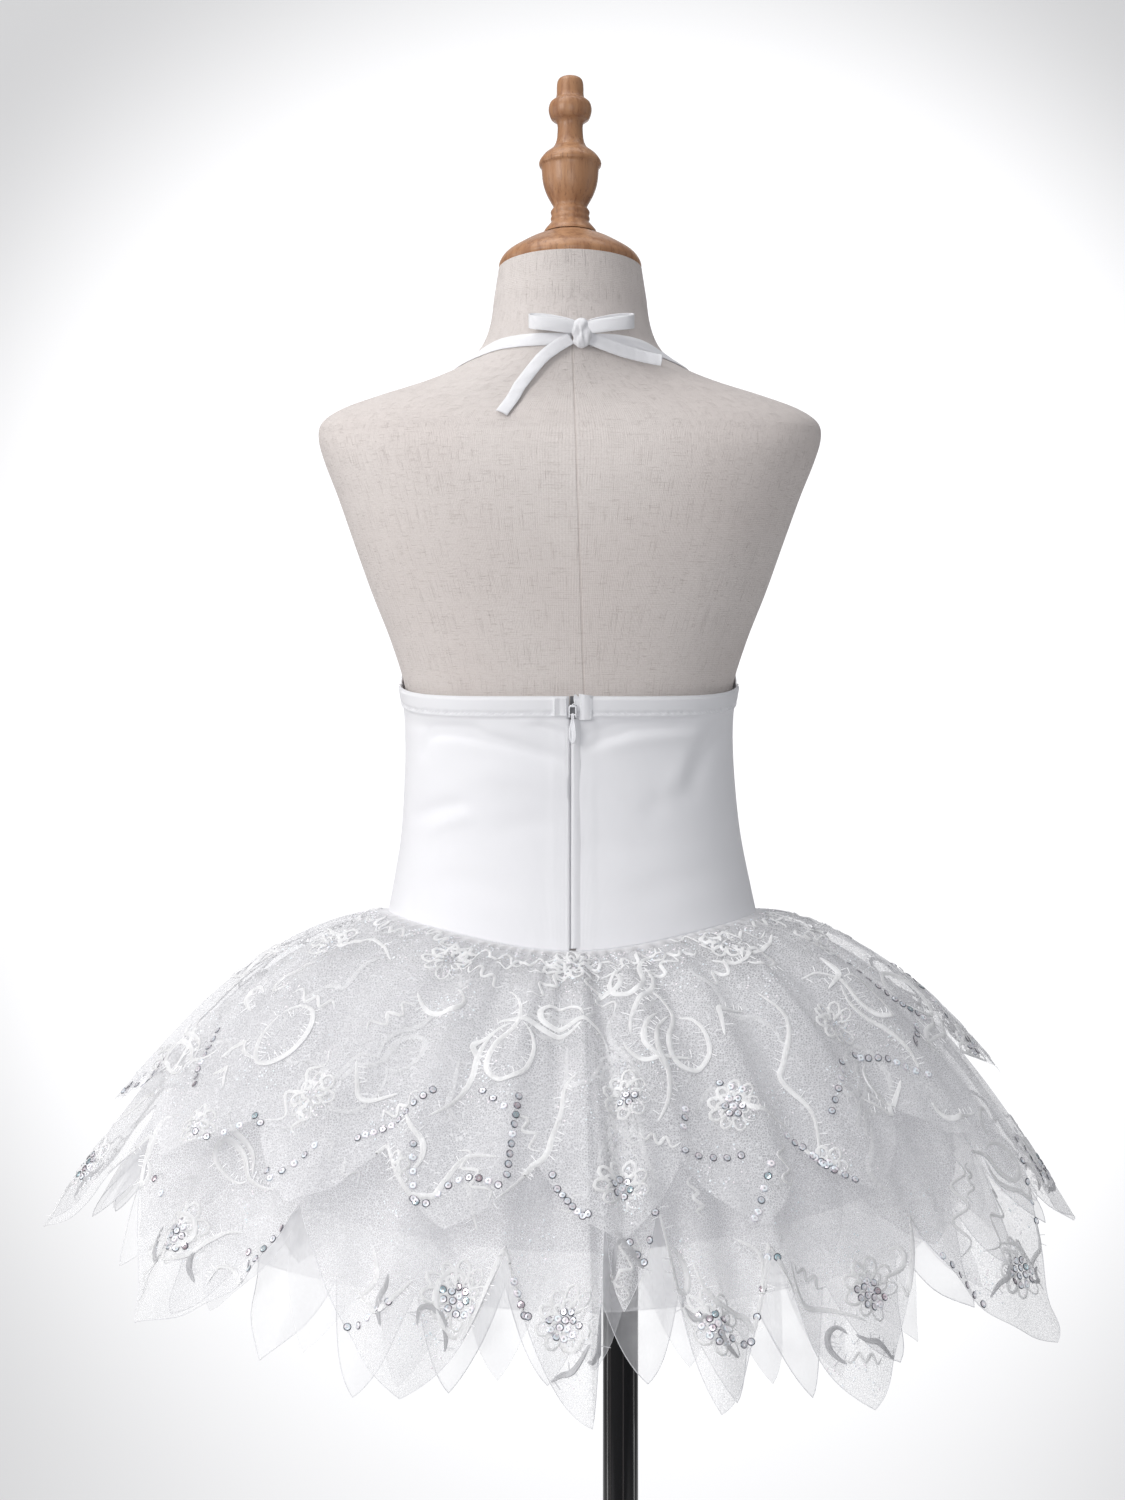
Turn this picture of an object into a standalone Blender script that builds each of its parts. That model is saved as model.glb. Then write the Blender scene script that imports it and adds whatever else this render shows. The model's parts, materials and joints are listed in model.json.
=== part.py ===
"""A child's pixie-style ballet tutu tied on a limbless linen dress form.

Metres, +Z up. The origin is on the floor under the form's centre line. The garment's back, with
its zip and bow, faces +Y and its front faces -Y. Angles round the body start at +X and pass
through the centre back at 90 degrees. Every cloth piece is a bent grid with a real wall.
"""
import math
from collections import namedtuple

import bmesh
import bpy
from mathutils import Matrix, Vector
from mathutils.bvhtree import BVHTree

MM = 0.001
WELD = 1e-6                      # joins the two sides of a wrapped grid
SEAM_GAP = 0.3 * MM              # air between sewn pieces

# ---- dress form -------------------------------------------------------------------------------
# columns: height, half width, back depth and front depth in metres, superellipse power, and how far
# the section stands aside, because the form leans a little to the wearer's left
FORM_SECTIONS = (
    (0.500, 0.0640, 0.0520, 0.0540, 2.0, 0.0),
    (0.505, 0.0860, 0.0690, 0.0700, 2.1, 0.0),
    (0.520, 0.1055, 0.0815, 0.0800, 2.2, 0.0),
    (0.545, 0.1150, 0.0880, 0.0860, 2.3, 0.0),
    (0.575, 0.1160, 0.0875, 0.0870, 2.3, 0.0),
    (0.600, 0.1125, 0.0835, 0.0850, 2.3, 0.0),
    (0.625, 0.1075, 0.0775, 0.0825, 2.3, 0.0002),
    (0.655, 0.1022, 0.0715, 0.0800, 2.3, 0.0008),
    (0.685, 0.0995, 0.0685, 0.0785, 2.3, 0.0015),
    (0.715, 0.0985, 0.0680, 0.0780, 2.3, 0.0019),
    (0.745, 0.1010, 0.0700, 0.0785, 2.3, 0.0021),
    (0.775, 0.1100, 0.0735, 0.0795, 2.35, 0.0021),
    (0.805, 0.1218, 0.0770, 0.0800, 2.4, 0.0021),
    (0.835, 0.1325, 0.0790, 0.0790, 2.5, 0.0021),
    (0.865, 0.1432, 0.0780, 0.0750, 2.5, 0.0019),
    (0.888, 0.1522, 0.0730, 0.0690, 2.5, 0.0017),
    (0.902, 0.1556, 0.0670, 0.0625, 2.4, 0.0015),
    (0.911, 0.1530, 0.0620, 0.0570, 2.3, 0.0014),
    (0.919, 0.1410, 0.0570, 0.0520, 2.2, 0.0013),
    (0.927, 0.1190, 0.0535, 0.0495, 2.1, 0.0012),
    (0.936, 0.0905, 0.0520, 0.0490, 2.0, 0.0012),
    (0.945, 0.0690, 0.0510, 0.0495, 2.0, 0.0012),
    (0.955, 0.0570, 0.0500, 0.0500, 2.0, 0.0012),
    (0.968, 0.0505, 0.0480, 0.0500, 2.0, 0.0012),
    (0.986, 0.0475, 0.0450, 0.0490, 2.0, 0.0012),
)
FORM_AROUND = 40
NECK_TILT = math.radians(8.0)    # the neck's top plane and finial lean to the front
NECK_TOP = 1.0060                # height of the neck's top plane on its axis
NECK_TOP_RADIUS = 0.0445
NECK_AXIS = (0.0012, -0.003)     # x and y of the neck's centre line at its top

# ---- wooden cap and finial --------------------------------------------------------------------
# profiles from the foot up; columns: radius, height in metres
WOOD_AROUND = 20
CAP_PROFILE = ((0.0437, 0.0), (0.0443, 0.0025), (0.0428, 0.0060), (0.0400, 0.0092),
               (0.0353, 0.0125), (0.0262, 0.0180), (0.0170, 0.0222), (0.0160, 0.0226))
FINIAL_FOOT = 0.0229
FINIAL_PROFILE = ((0.0168, 0.0), (0.0160, 0.0022), (0.0128, 0.0062), (0.0117, 0.0078), (0.0122, 0.0097),
                  (0.0117, 0.0116), (0.0122, 0.0140), (0.0112, 0.0158), (0.0105, 0.0176),
                  (0.0125, 0.0215), (0.0146, 0.0256), (0.0165, 0.0310), (0.0174, 0.0360),
                  (0.0180, 0.0424), (0.0192, 0.0440), (0.0192, 0.0468), (0.0160, 0.0513),
                  (0.0112, 0.0552), (0.0090, 0.0590), (0.0081, 0.0640), (0.0082, 0.0716),
                  (0.0118, 0.0744), (0.0135, 0.0800), (0.0124, 0.0850), (0.0088, 0.0884),
                  (0.0083, 0.0970), (0.0070, 0.1005), (0.0036, 0.1021))

# ---- stand ------------------------------------------------------------------------------------
POLE_X = -0.030                  # the pole enters the underside beside the centre line
POLE_RADIUS = 0.011
POLE_AROUND = 20
BASE_RADIUS = 0.140
BASE_THICK = 0.012
BASE_EDGE = 0.004                # rounded upper edge
BASE_COLLAR_RADIUS = 0.019
BASE_COLLAR_HEIGHT = 0.016
BASE_AROUND = 40
BASE_EDGE_STEPS = 3

# ---- bodice -----------------------------------------------------------------------------------
CLOTH = 1.4 * MM
CLOTH_LIFT = 2.6 * MM            # outer face of the satin over the linen
FRONT_LIFT = 2.8 * MM            # the same on the front, which spans the flare under the arms
BAND_LIFT = 3.2 * MM             # outer face over the folded top hem
BAND_DEPTH = 11.0 * MM
BAND_STEP = 1.2 * MM             # height of the small step under the hem fold
WAIST_SIDE = 0.610
WAIST_DIP = 0.020                # the waist seam is lower at the centre back and centre front
BACK_TOP = 0.7395
BACK_TOP_SIDE = 0.7485
ZIP_HALF_SLOT = 1.9 * MM
SIDE_GAP = 0.45 * MM             # panels stop this far from the side seam; their inner corners lean to it
BACK_COLUMNS = 8
BACK_ROWS = 7                    # plain rows under the hem band
FRONT_COLUMNS = 12                # on each side of the centre front
FRONT_ROWS = 10
# top edge of the halter front from the side seam to the centre; columns: across, height in metres
HALTER_EDGE = (
    (0.1018, 0.7485),
    (0.1022, 0.7530),
    (0.1015, 0.7600),
    (0.0990, 0.7700),
    (0.0945, 0.7850),
    (0.0870, 0.8100),
    (0.0780, 0.8400),
    (0.0695, 0.8660),
    (0.0610, 0.8840),
    (0.0500, 0.8865),
    (0.0340, 0.8770),
    (0.0000, 0.8700),
)

# ---- neck straps and bow ----------------------------------------------------------------------
STRAP_WIDTH = 8.0 * MM
STRAP_THICK = 1.0 * MM
STRAP_LIFT = 1.9 * MM
STRAP_STEPS = 18
# left strap from the halter corner over the shoulder to the nape; x, y, z in metres
STRAP_ROUTE = (
    (0.0560, -0.0690, 0.8890),
    (0.0615, -0.0600, 0.9130),
    (0.0680, -0.0400, 0.9330),
    (0.0710, -0.0170, 0.9430),
    (0.0690, 0.0020, 0.9470),
    (0.0600, 0.0180, 0.9515),
    (0.0480, 0.0310, 0.9550),
    (0.0280, 0.0450, 0.9565),
    (0.0080, 0.0520, 0.9560),
)
KNOT_CENTRE = (-0.0050, 0.9585)  # x and z of the knot at the nape
KNOT_RADII = (0.0052, 0.0034, 0.0085)
KNOT_LIFT = 5.4 * MM
KNOT_AROUND = 14
KNOT_RINGS = 8
LOOP_STEPS = 16
LOOP_WIDTH = 8.0 * MM
# the loop's path seen from above, from the knot out and back: out, proud and rise in metres
LOOP_PATH = (
    (0.0060, 0.0014, 0.0054),
    (0.0130, 0.0034, 0.0058),
    (0.0220, 0.0042, 0.0066),
    (0.0290, 0.0032, 0.0072),
    (0.0316, 0.0005, 0.0074),
    (0.0290, -0.0022, 0.0072),
    (0.0200, -0.0026, 0.0064),
    (0.0120, -0.0018, 0.0056),
    (0.0060, -0.0014, 0.0053),
)
LOOP_SAG = 0.0050                # how far the loop's far end bends back round the neck
TAIL_STEPS = 10
# free ends: x, z on the back and lift over the linen, in metres
TAIL_LEFT = ((0.0050, 0.9525, 0.0046), (0.0105, 0.9495, 0.0046), (0.0190, 0.9430, 0.0046),
             (0.0315, 0.9283, 0.0036), (0.0365, 0.9195, 0.0026), (0.0435, 0.9105, 0.0024))
TAIL_RIGHT = ((-0.0112, 0.9548, 0.0058), (-0.0200, 0.9520, 0.0054), (-0.0300, 0.9490, 0.0054),
              (-0.0420, 0.9450, 0.0058), (-0.0530, 0.9415, 0.0070))

# ---- zip --------------------------------------------------------------------------------------
COIL_HALF_WIDTH = 1.3 * MM
COIL_LIFT = 2.6 * MM
COIL_THICK = 1.4 * MM
COIL_TOP = 0.7262
COIL_STEPS = 9
SLIDER_HALF_WIDTH = 2.5 * MM
SLIDER_PLATE = 1.4 * MM
SLIDER_DEPTH = 3.4 * MM          # plate and cheeks together
SLIDER_CHEEK = 0.9 * MM
SLIDER_LOW = 0.7268
SLIDER_HIGH = 0.7350
SLIDER_LIFT = 3.6 * MM           # back of the slider over the linen
PULL_AXIS_Z = 0.7290
PULL_AXIS_DEPTH = 2.6 * MM       # axis in front of the slider's back
PULL_THICK = 0.9 * MM
# the pull tab's right half outline: across and drop under the axis, in metres
PULL_OUTLINE = ((0.00100, -0.0005), (0.00100, 0.0030), (0.00150, 0.0055), (0.00215, 0.0090), (0.00230, 0.0120),
                (0.00200, 0.0148), (0.00120, 0.0166), (0.00040, 0.0173))

# ---- skirt ------------------------------------------------------------------------------------
NET = 1.0 * MM                   # wall of every skirt layer
SKIRT_LIFT = 2.0 * MM            # skirt layers start this far outside the linen
LAYER_PITCH = 2.5 * MM           # height between the layers' sewn edges
# tips of the long net petals; columns here and below: angle in degrees, reach, height in metres
LOWER_TIPS = (
    (4.0, 0.320, 0.413), (31.6, 0.288, 0.379), (69.0, 0.259, 0.356), (92.2, 0.257, 0.343),
    (96.6, 0.236, 0.402), (108.0, 0.256, 0.348), (128.7, 0.2635, 0.342), (155.7, 0.304, 0.363), (187.0, 0.316, 0.408),
    (213.0, 0.288, 0.374), (239.0, 0.262, 0.352), (264.0, 0.256, 0.345), (289.0, 0.258, 0.350),
    (313.0, 0.272, 0.356), (339.0, 0.298, 0.386),
)
# tips of the short net petals
UPPER_TIPS = (
    (0.0, 0.281, 0.489), (29.0, 0.270, 0.474), (51.0, 0.252, 0.456), (73.0, 0.240, 0.446),
    (96.0, 0.235, 0.441), (116.5, 0.238, 0.446), (134.0, 0.246, 0.459), (155.0, 0.258, 0.482),
    (180.0, 0.266, 0.5065), (205.0, 0.264, 0.486), (230.0, 0.248, 0.460), (254.0, 0.238, 0.446),
    (278.0, 0.236, 0.443), (303.0, 0.246, 0.452), (330.0, 0.266, 0.474),
)
# tips of the narrow organza points
ORGANZA_TIPS = (
    (5.0, 0.292, 0.421), (18.5, 0.280, 0.402), (31.8, 0.266, 0.382), (46.5, 0.252, 0.365),
    (60.0, 0.241, 0.3500), (73.3, 0.235, 0.356), (86.5, 0.230, 0.361), (100.0, 0.230, 0.361),
    (112.5, 0.231, 0.348), (123.5, 0.236, 0.347), (136.5, 0.249, 0.361), (149.0, 0.264, 0.385),
    (161.0, 0.272, 0.402), (172.5, 0.287, 0.419), (186.0, 0.291, 0.422), (199.0, 0.279, 0.403),
    (212.0, 0.262, 0.384), (225.0, 0.248, 0.366), (238.0, 0.238, 0.355), (251.0, 0.232, 0.358),
    (264.0, 0.230, 0.352), (277.0, 0.230, 0.362), (290.0, 0.233, 0.353), (303.0, 0.240, 0.362),
    (316.0, 0.251, 0.370), (329.0, 0.264, 0.386), (341.5, 0.277, 0.405), (353.0, 0.288, 0.415),
)
# hems of the net layer and the lining, by direction
NET_HEM = (
    (0.0, 0.236, 0.428), (30.0, 0.222, 0.412), (60.0, 0.194, 0.400), (90.0, 0.191, 0.394),
    (120.0, 0.187, 0.397), (150.0, 0.220, 0.412), (180.0, 0.238, 0.430), (210.0, 0.222, 0.413),
    (240.0, 0.196, 0.402), (270.0, 0.190, 0.396), (300.0, 0.196, 0.402), (330.0, 0.222, 0.413),
)
LINING_HEM = (
    (0.0, 0.203, 0.448), (60.0, 0.168, 0.428), (90.0, 0.165, 0.4235), (120.0, 0.162, 0.427),
    (180.0, 0.203, 0.448), (240.0, 0.168, 0.428), (270.0, 0.165, 0.425), (300.0, 0.168, 0.428),
)
# order: place under the seam, from the outside in; leave, end: slopes below level at the seam and
# at the hem, at the sides, in degrees; steeper: added to both at the centre; petal: depth of the
# notches as a share of the profile; waves: gathers in each petal or span of the hem table; wave:
# their height at the hem; split: columns in half a petal or span; rows: rows down the profile
Layer = namedtuple("Layer", "order leave end steeper petal waves wave split rows")
LAYERS = {
    "overlay_upper": Layer(0, 5.0, 52.0, 12.0, 0.20, 1, 2.2 * MM, 3, 4),
    "overlay_lower": Layer(1, 14.0, 60.0, 12.0, 0.30, 2, 4.0 * MM, 4, 5),
    "organza_points": Layer(2, 19.0, 62.0, 12.0, 0.20, 1, 4.2 * MM, 2, 5),
    "skirt_net": Layer(3, 27.0, 66.0, 12.0, 0.0, 2, 2.8 * MM, 3, 4),
    "skirt_lining": Layer(4, 37.0, 68.0, 10.0, 0.0, 2, 2.0 * MM, 4, 4),
}
HANDLE = 0.36                    # length of the profile curve's handles, as a share of its chord
LEAF_SLOPE = 0.45                # how straight the petal's sides are near the tip
WAVE_GROWTH = 1.35               # the gathers open out towards the hem

COLOURS = {                      # base colour, roughness, metallic
    "linen": ((0.68, 0.63, 0.57), 0.85, 0.0),
    "wood": ((0.46, 0.26, 0.13), 0.38, 0.0),
    "black": ((0.012, 0.012, 0.013), 0.22, 0.3),
    "satin": ((0.86, 0.87, 0.89), 0.50, 0.0),
    "lace": ((0.88, 0.89, 0.90), 0.60, 0.0),
    "enamel": ((0.82, 0.83, 0.85), 0.25, 0.3),
}


# ---- tools ------------------------------------------------------------------------------------
def clear_scene():
    for leftover in list(bpy.data.objects):
        bpy.data.objects.remove(leftover, do_unlink=True)


def finish(name, mesh_data, finish_name, sharp_degrees=40.0):
    """Makes the object and gives it its own material."""
    mesh = bpy.data.meshes.new(name)
    mesh_data.to_mesh(mesh)
    mesh_data.free()
    mesh.shade_smooth()
    mesh.set_sharp_from_angle(angle=math.radians(sharp_degrees))
    piece = bpy.data.objects.new(name, mesh)
    bpy.context.scene.collection.objects.link(piece)
    colour, roughness, metallic = COLOURS[finish_name]
    material = bpy.data.materials.new(name + "_" + finish_name)
    material.use_nodes = True
    shader = material.node_tree.nodes["Principled BSDF"]
    shader.inputs["Base Color"].default_value = (*colour, 1.0)
    shader.inputs["Roughness"].default_value = roughness
    shader.inputs["Metallic"].default_value = metallic
    mesh.materials.append(material)
    return piece


def bent_grid(place, columns, rows, wrap=False):
    """Bends a flat grid: place(column, row) gives each point; a wrapped grid is a tube."""
    mesh_data = bmesh.new()
    bmesh.ops.create_grid(mesh_data, x_segments=columns, y_segments=rows, size=1.0)
    for index, vert in enumerate(mesh_data.verts):
        row, column = divmod(index, columns + 1)
        vert.co = place(column % columns if wrap else column, row)
    if wrap:
        bmesh.ops.remove_doubles(mesh_data, verts=mesh_data.verts[:], dist=WELD)
    mesh_data.normal_update()
    return mesh_data


def cloth(name, place, columns, rows, thickness, finish_name, wrap=False):
    """A cloth wall: the bent grid is its outer face, and the wall lies behind it."""
    piece = finish(name, bent_grid(place, columns, rows, wrap), finish_name)
    wall = piece.modifiers.new("wall", "SOLIDIFY")
    wall.thickness = thickness
    wall.offset = -1.0
    wall.use_even_offset = True
    wall.use_quality_normals = True
    return piece


def turned(name, profile, around, seat, finish_name):
    """A turned piece: radius and height pairs, from the foot up, closed at both ends."""
    ends = [(0.0, profile[0][1]), *profile, (0.0, profile[-1][1])]

    def place(column, row):
        radius, height = ends[row]
        angle = 2.0 * math.pi * column / around
        return seat @ Vector((radius * math.cos(angle), radius * math.sin(angle), height))

    mesh_data = bent_grid(place, around, len(ends) - 1, wrap=True)
    return finish(name, mesh_data, finish_name, sharp_degrees=50.0)


def hermite(before, start, end, after, positions, where):
    """Cubic through start and end at their positions, with slopes from the neighbours."""
    p0, p1, p2, p3 = positions
    slope_1 = (end - before) / (p2 - p0)
    slope_2 = (after - start) / (p3 - p1)
    span = p2 - p1
    t = (where - p1) / span
    return ((2 * t**3 - 3 * t**2 + 1) * start + (t**3 - 2 * t**2 + t) * span * slope_1
            + (3 * t**2 - 2 * t**3) * end + (t**3 - t**2) * span * slope_2)


def read_row(rows, where):
    """Reads a table smoothly: the first column is the position, the rest are returned."""
    last = len(rows) - 1
    where = min(max(where, rows[0][0]), rows[last][0])
    index = next(i for i in range(last) if where <= rows[i + 1][0])
    around = [rows[min(max(index + step, 0), last)] for step in (-1, 0, 1, 2)]
    positions = [row[0] for row in around]
    if index == 0:
        positions[0] = 2 * positions[1] - positions[2]
    if index == last - 1:
        positions[3] = 2 * positions[2] - positions[1]
    return [hermite(*[row[k] for row in around], positions, where) for k in range(1, len(rows[0]))]


def read_round(rows, angle):
    """Reads a table of angle, reach and height smoothly round the full turn."""
    angle = angle % 360.0
    turns = [(row[0] + 360.0 * lap, *row[1:]) for lap in (-1, 0, 1) for row in rows]
    return read_row(turns, angle)


def smooth_route(points, steps):
    """Evenly stepped points on a smooth curve through the given ones."""
    rows = [(float(index), *point) for index, point in enumerate(points)]
    return [Vector(read_row(rows, (len(points) - 1) * step / steps)) for step in range(steps + 1)]


# ---- dress form -------------------------------------------------------------------------------
def form_section(height):
    return read_row(FORM_SECTIONS, height)


def form_point(angle, height, lift=0.0):
    """A point over the linen; angle is the section's own parameter in degrees."""
    half_width, back, front, power, aside = form_section(height)
    cosine = math.cos(math.radians(angle))
    sine = math.sin(math.radians(angle))
    depth = back if sine >= 0.0 else front
    x = half_width * math.copysign(abs(cosine) ** (2.0 / power), cosine)
    y = depth * math.copysign(abs(sine) ** (2.0 / power), sine)
    normal = Vector((math.copysign(abs(x / half_width) ** (power - 1.0), x) / half_width,
                     math.copysign(abs(y / depth) ** (power - 1.0), y) / depth, 0.0)).normalized()
    return Vector((x + aside, y, height)) + normal * lift


def polar_point(angle, height, lift):
    """A point over the linen in a given direction from the body's axis."""
    half_width, back, front, power = form_section(height)[:4]
    direction = math.radians(angle)
    depth = back if math.sin(direction) >= 0.0 else front
    radius = (abs(math.cos(direction) / half_width) ** power
              + abs(math.sin(direction) / depth) ** power) ** (-1.0 / power)
    return radius + lift, height


def make_form():
    heights = [row[0] for row in FORM_SECTIONS]
    rings = len(heights)

    def place(column, row):
        if row == 0:
            return Vector((0.0, 0.0, heights[0]))
        if row <= rings:
            return form_point(360.0 * column / FORM_AROUND, heights[row - 1])
        angle = 2.0 * math.pi * column / FORM_AROUND
        radius = NECK_TOP_RADIUS if row == rings + 1 else 0.0
        x, y = radius * math.cos(angle), radius * math.sin(angle)
        return Vector((NECK_AXIS[0] + x, NECK_AXIS[1] + y, NECK_TOP + y * math.tan(NECK_TILT)))

    mesh_data = bent_grid(place, FORM_AROUND, rings + 2, wrap=True)
    tree = BVHTree.FromBMesh(mesh_data)
    finish("form_torso", mesh_data, "linen", sharp_degrees=60.0)
    return tree


def make_wood():
    tilt = Matrix.Rotation(NECK_TILT, 4, "X")
    seat = Matrix.Translation((*NECK_AXIS, NECK_TOP)) @ tilt
    turned("neck_cap", CAP_PROFILE, WOOD_AROUND, seat @ Matrix.Translation((0, 0, SEAM_GAP)), "wood")
    turned("finial", FINIAL_PROFILE, WOOD_AROUND,
           seat @ Matrix.Translation((0, 0, FINIAL_FOOT + SEAM_GAP)), "wood")


def make_stand():
    on_axis = Matrix.Translation((POLE_X, 0.0, 0.0))
    edge = []
    for step in range(BASE_EDGE_STEPS + 1):
        turn = math.radians(90.0 * step / BASE_EDGE_STEPS)
        edge.append((BASE_RADIUS - BASE_EDGE + BASE_EDGE * math.cos(turn),
                     BASE_THICK - BASE_EDGE + BASE_EDGE * math.sin(turn)))
    collar_top = BASE_THICK + BASE_COLLAR_HEIGHT
    profile = [(BASE_RADIUS, 0.0), *edge, (BASE_COLLAR_RADIUS, BASE_THICK), (BASE_COLLAR_RADIUS, collar_top)]
    turned("stand_base", profile, BASE_AROUND, on_axis, "black")
    pole = [(POLE_RADIUS, collar_top + SEAM_GAP), (POLE_RADIUS, FORM_SECTIONS[0][0] - SEAM_GAP)]
    turned("pole", pole, POLE_AROUND, on_axis, "black")


# ---- bodice -----------------------------------------------------------------------------------
def waist_height(angle):
    """Height of the waist seam in a direction from the body's axis."""
    return WAIST_SIDE - WAIST_DIP * math.sin(math.radians(angle)) ** 2


def seam_height(angle):
    """Height of the waist seam under a point of the bodice's section."""
    point = form_point(angle, WAIST_SIDE)
    return waist_height(math.degrees(math.atan2(point.y, point.x)))


def make_back_panel(side, name):
    """One back panel; side is +1 for the wearer's left, at +X, and -1 for the right."""
    def place(column, row):
        share = column / BACK_COLUMNS
        angle = 90.0 * share
        top = BACK_TOP + (BACK_TOP_SIDE - BACK_TOP) * (1.0 - math.sin(math.radians(angle))) ** 2
        band = top - BAND_DEPTH
        if row < BACK_ROWS:
            low = seam_height(angle)
            height = low + (band - BAND_STEP - low) * row / (BACK_ROWS - 1)
            lift = CLOTH_LIFT
        else:
            height = band if row == BACK_ROWS else top
            lift = BAND_LIFT
        point = form_point(angle if side > 0 else 180.0 - angle, height, lift)
        point.x = side * max(side * point.x, ZIP_HALF_SLOT)
        point.y = max(point.y, SIDE_GAP)
        return point

    def mirrored(column, row):
        return place(BACK_COLUMNS - column, row)

    cloth(name, place if side > 0 else mirrored, BACK_COLUMNS, BACK_ROWS + 1, CLOTH, "satin")


def make_front():
    half = FRONT_COLUMNS
    edge_rows = [(float(index), *row) for index, row in enumerate(HALTER_EDGE)]

    def place(column, row):
        step = abs(column - half)
        side = 1.0 if column > half else -1.0
        edge_x, edge_z = read_row(edge_rows, (len(edge_rows) - 1) * (1.0 - step / half))
        low_angle = 90.0 * (1.0 - step / half)
        low = seam_height(-low_angle)
        height = low + (edge_z - low) * row / FRONT_ROWS
        power = form_section(height)[3]
        low_across = math.cos(math.radians(low_angle)) ** (2.0 / form_section(low)[3])
        top_across = min(1.0, edge_x / form_section(edge_z)[0])
        if step == half:
            top_across = 1.0
        across = low_across + (top_across - low_across) * row / FRONT_ROWS
        angle = math.degrees(math.acos(min(1.0, across) ** (power / 2.0)))
        point = form_point(-angle if side > 0 else 180.0 + angle, height, FRONT_LIFT)
        point.y = min(point.y, -SIDE_GAP)
        return point

    cloth("bodice_front", place, 2 * half, FRONT_ROWS, CLOTH, "satin")


# ---- straps, bow and zip ----------------------------------------------------------------------
def over_form(tree, point, lift):
    """The point moved to the given lift over the nearest linen."""
    spot, normal, _, _ = tree.find_nearest(point)
    return spot + normal * lift


def on_back(tree, x, height, lift):
    """The point of the back at x and height, lifted off the linen."""
    spot, normal, _, _ = tree.ray_cast(Vector((x, 1.0, height)), Vector((0.0, -1.0, 0.0)))
    return spot + normal * lift


def ribbon(name, first_edge, second_edge, thickness, finish_name):
    edges = (first_edge, second_edge)
    cloth(name, lambda column, row: edges[row][column], len(first_edge) - 1, 1, thickness, finish_name)


def lying_ribbon(name, tree, centres, lifts, width):
    """A ribbon that lies over the linen along its centre points."""
    edges = ([], [])
    for index, centre in enumerate(centres):
        ahead = centres[min(index + 1, len(centres) - 1)] - centres[max(index - 1, 0)]
        normal = tree.find_nearest(centre)[1]
        across = normal.cross(ahead).normalized() * (width / 2.0)
        for edge, sign in zip(edges, (-1.0, 1.0)):
            edge.append(over_form(tree, centre + across * sign, lifts[index]))
    ribbon(name, *edges, STRAP_THICK, "satin")


def make_straps(tree):
    for side, name in ((1.0, "strap_left"), (-1.0, "strap_right")):
        route = [Vector((side * x, y, z)) for x, y, z in STRAP_ROUTE]
        route[-1].x = KNOT_CENTRE[0] + side * (KNOT_RADII[0] + SEAM_GAP)
        centres = [over_form(tree, point, STRAP_LIFT) for point in smooth_route(route, STRAP_STEPS)]
        lying_ribbon(name, tree, centres, [STRAP_LIFT] * len(centres), STRAP_WIDTH)


def make_bow(tree):
    knot = on_back(tree, KNOT_CENTRE[0], KNOT_CENTRE[1], KNOT_LIFT)
    mesh_data = bmesh.new()
    seat = Matrix.Translation(knot) @ Matrix.Diagonal((*KNOT_RADII, 1.0))
    bmesh.ops.create_uvsphere(mesh_data, u_segments=KNOT_AROUND, v_segments=KNOT_RINGS, radius=1.0, matrix=seat)
    finish("bow_knot", mesh_data, "satin")
    reach = max(row[0] for row in LOOP_PATH)
    for side, name in ((1.0, "bow_loop_left"), (-1.0, "bow_loop_right")):
        edges = ([], [])
        for out, proud, rise in smooth_route(LOOP_PATH, LOOP_STEPS):
            back = proud - LOOP_SAG * (out / reach) ** 2
            for edge, sign in zip(edges, (1.0, -1.0)):
                edge.append(knot + Vector((side * out, back, rise + sign * LOOP_WIDTH / 2.0)))
        first, second = edges if side > 0.0 else edges[::-1]
        ribbon(name, first, second, STRAP_THICK, "satin")
    for route, name in ((TAIL_LEFT, "bow_tail_left"), (TAIL_RIGHT, "bow_tail_right")):
        points = smooth_route(route, TAIL_STEPS)
        centres = [on_back(tree, x, height, lift) for x, height, lift in points]
        lying_ribbon(name, tree, centres, [point[2] for point in points], STRAP_WIDTH)


def extruded(name, outline, travel, finish_name):
    """A flat outline of points drawn out along the travel vector."""
    mesh_data = bmesh.new()
    face = mesh_data.faces.new([mesh_data.verts.new(point) for point in outline])
    grown = bmesh.ops.extrude_face_region(mesh_data, geom=[face])
    moved = [item for item in grown["geom"] if isinstance(item, bmesh.types.BMVert)]
    bmesh.ops.translate(mesh_data, verts=moved, vec=travel)
    bmesh.ops.recalc_face_normals(mesh_data, faces=mesh_data.faces[:])
    return finish(name, mesh_data, finish_name)


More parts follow.
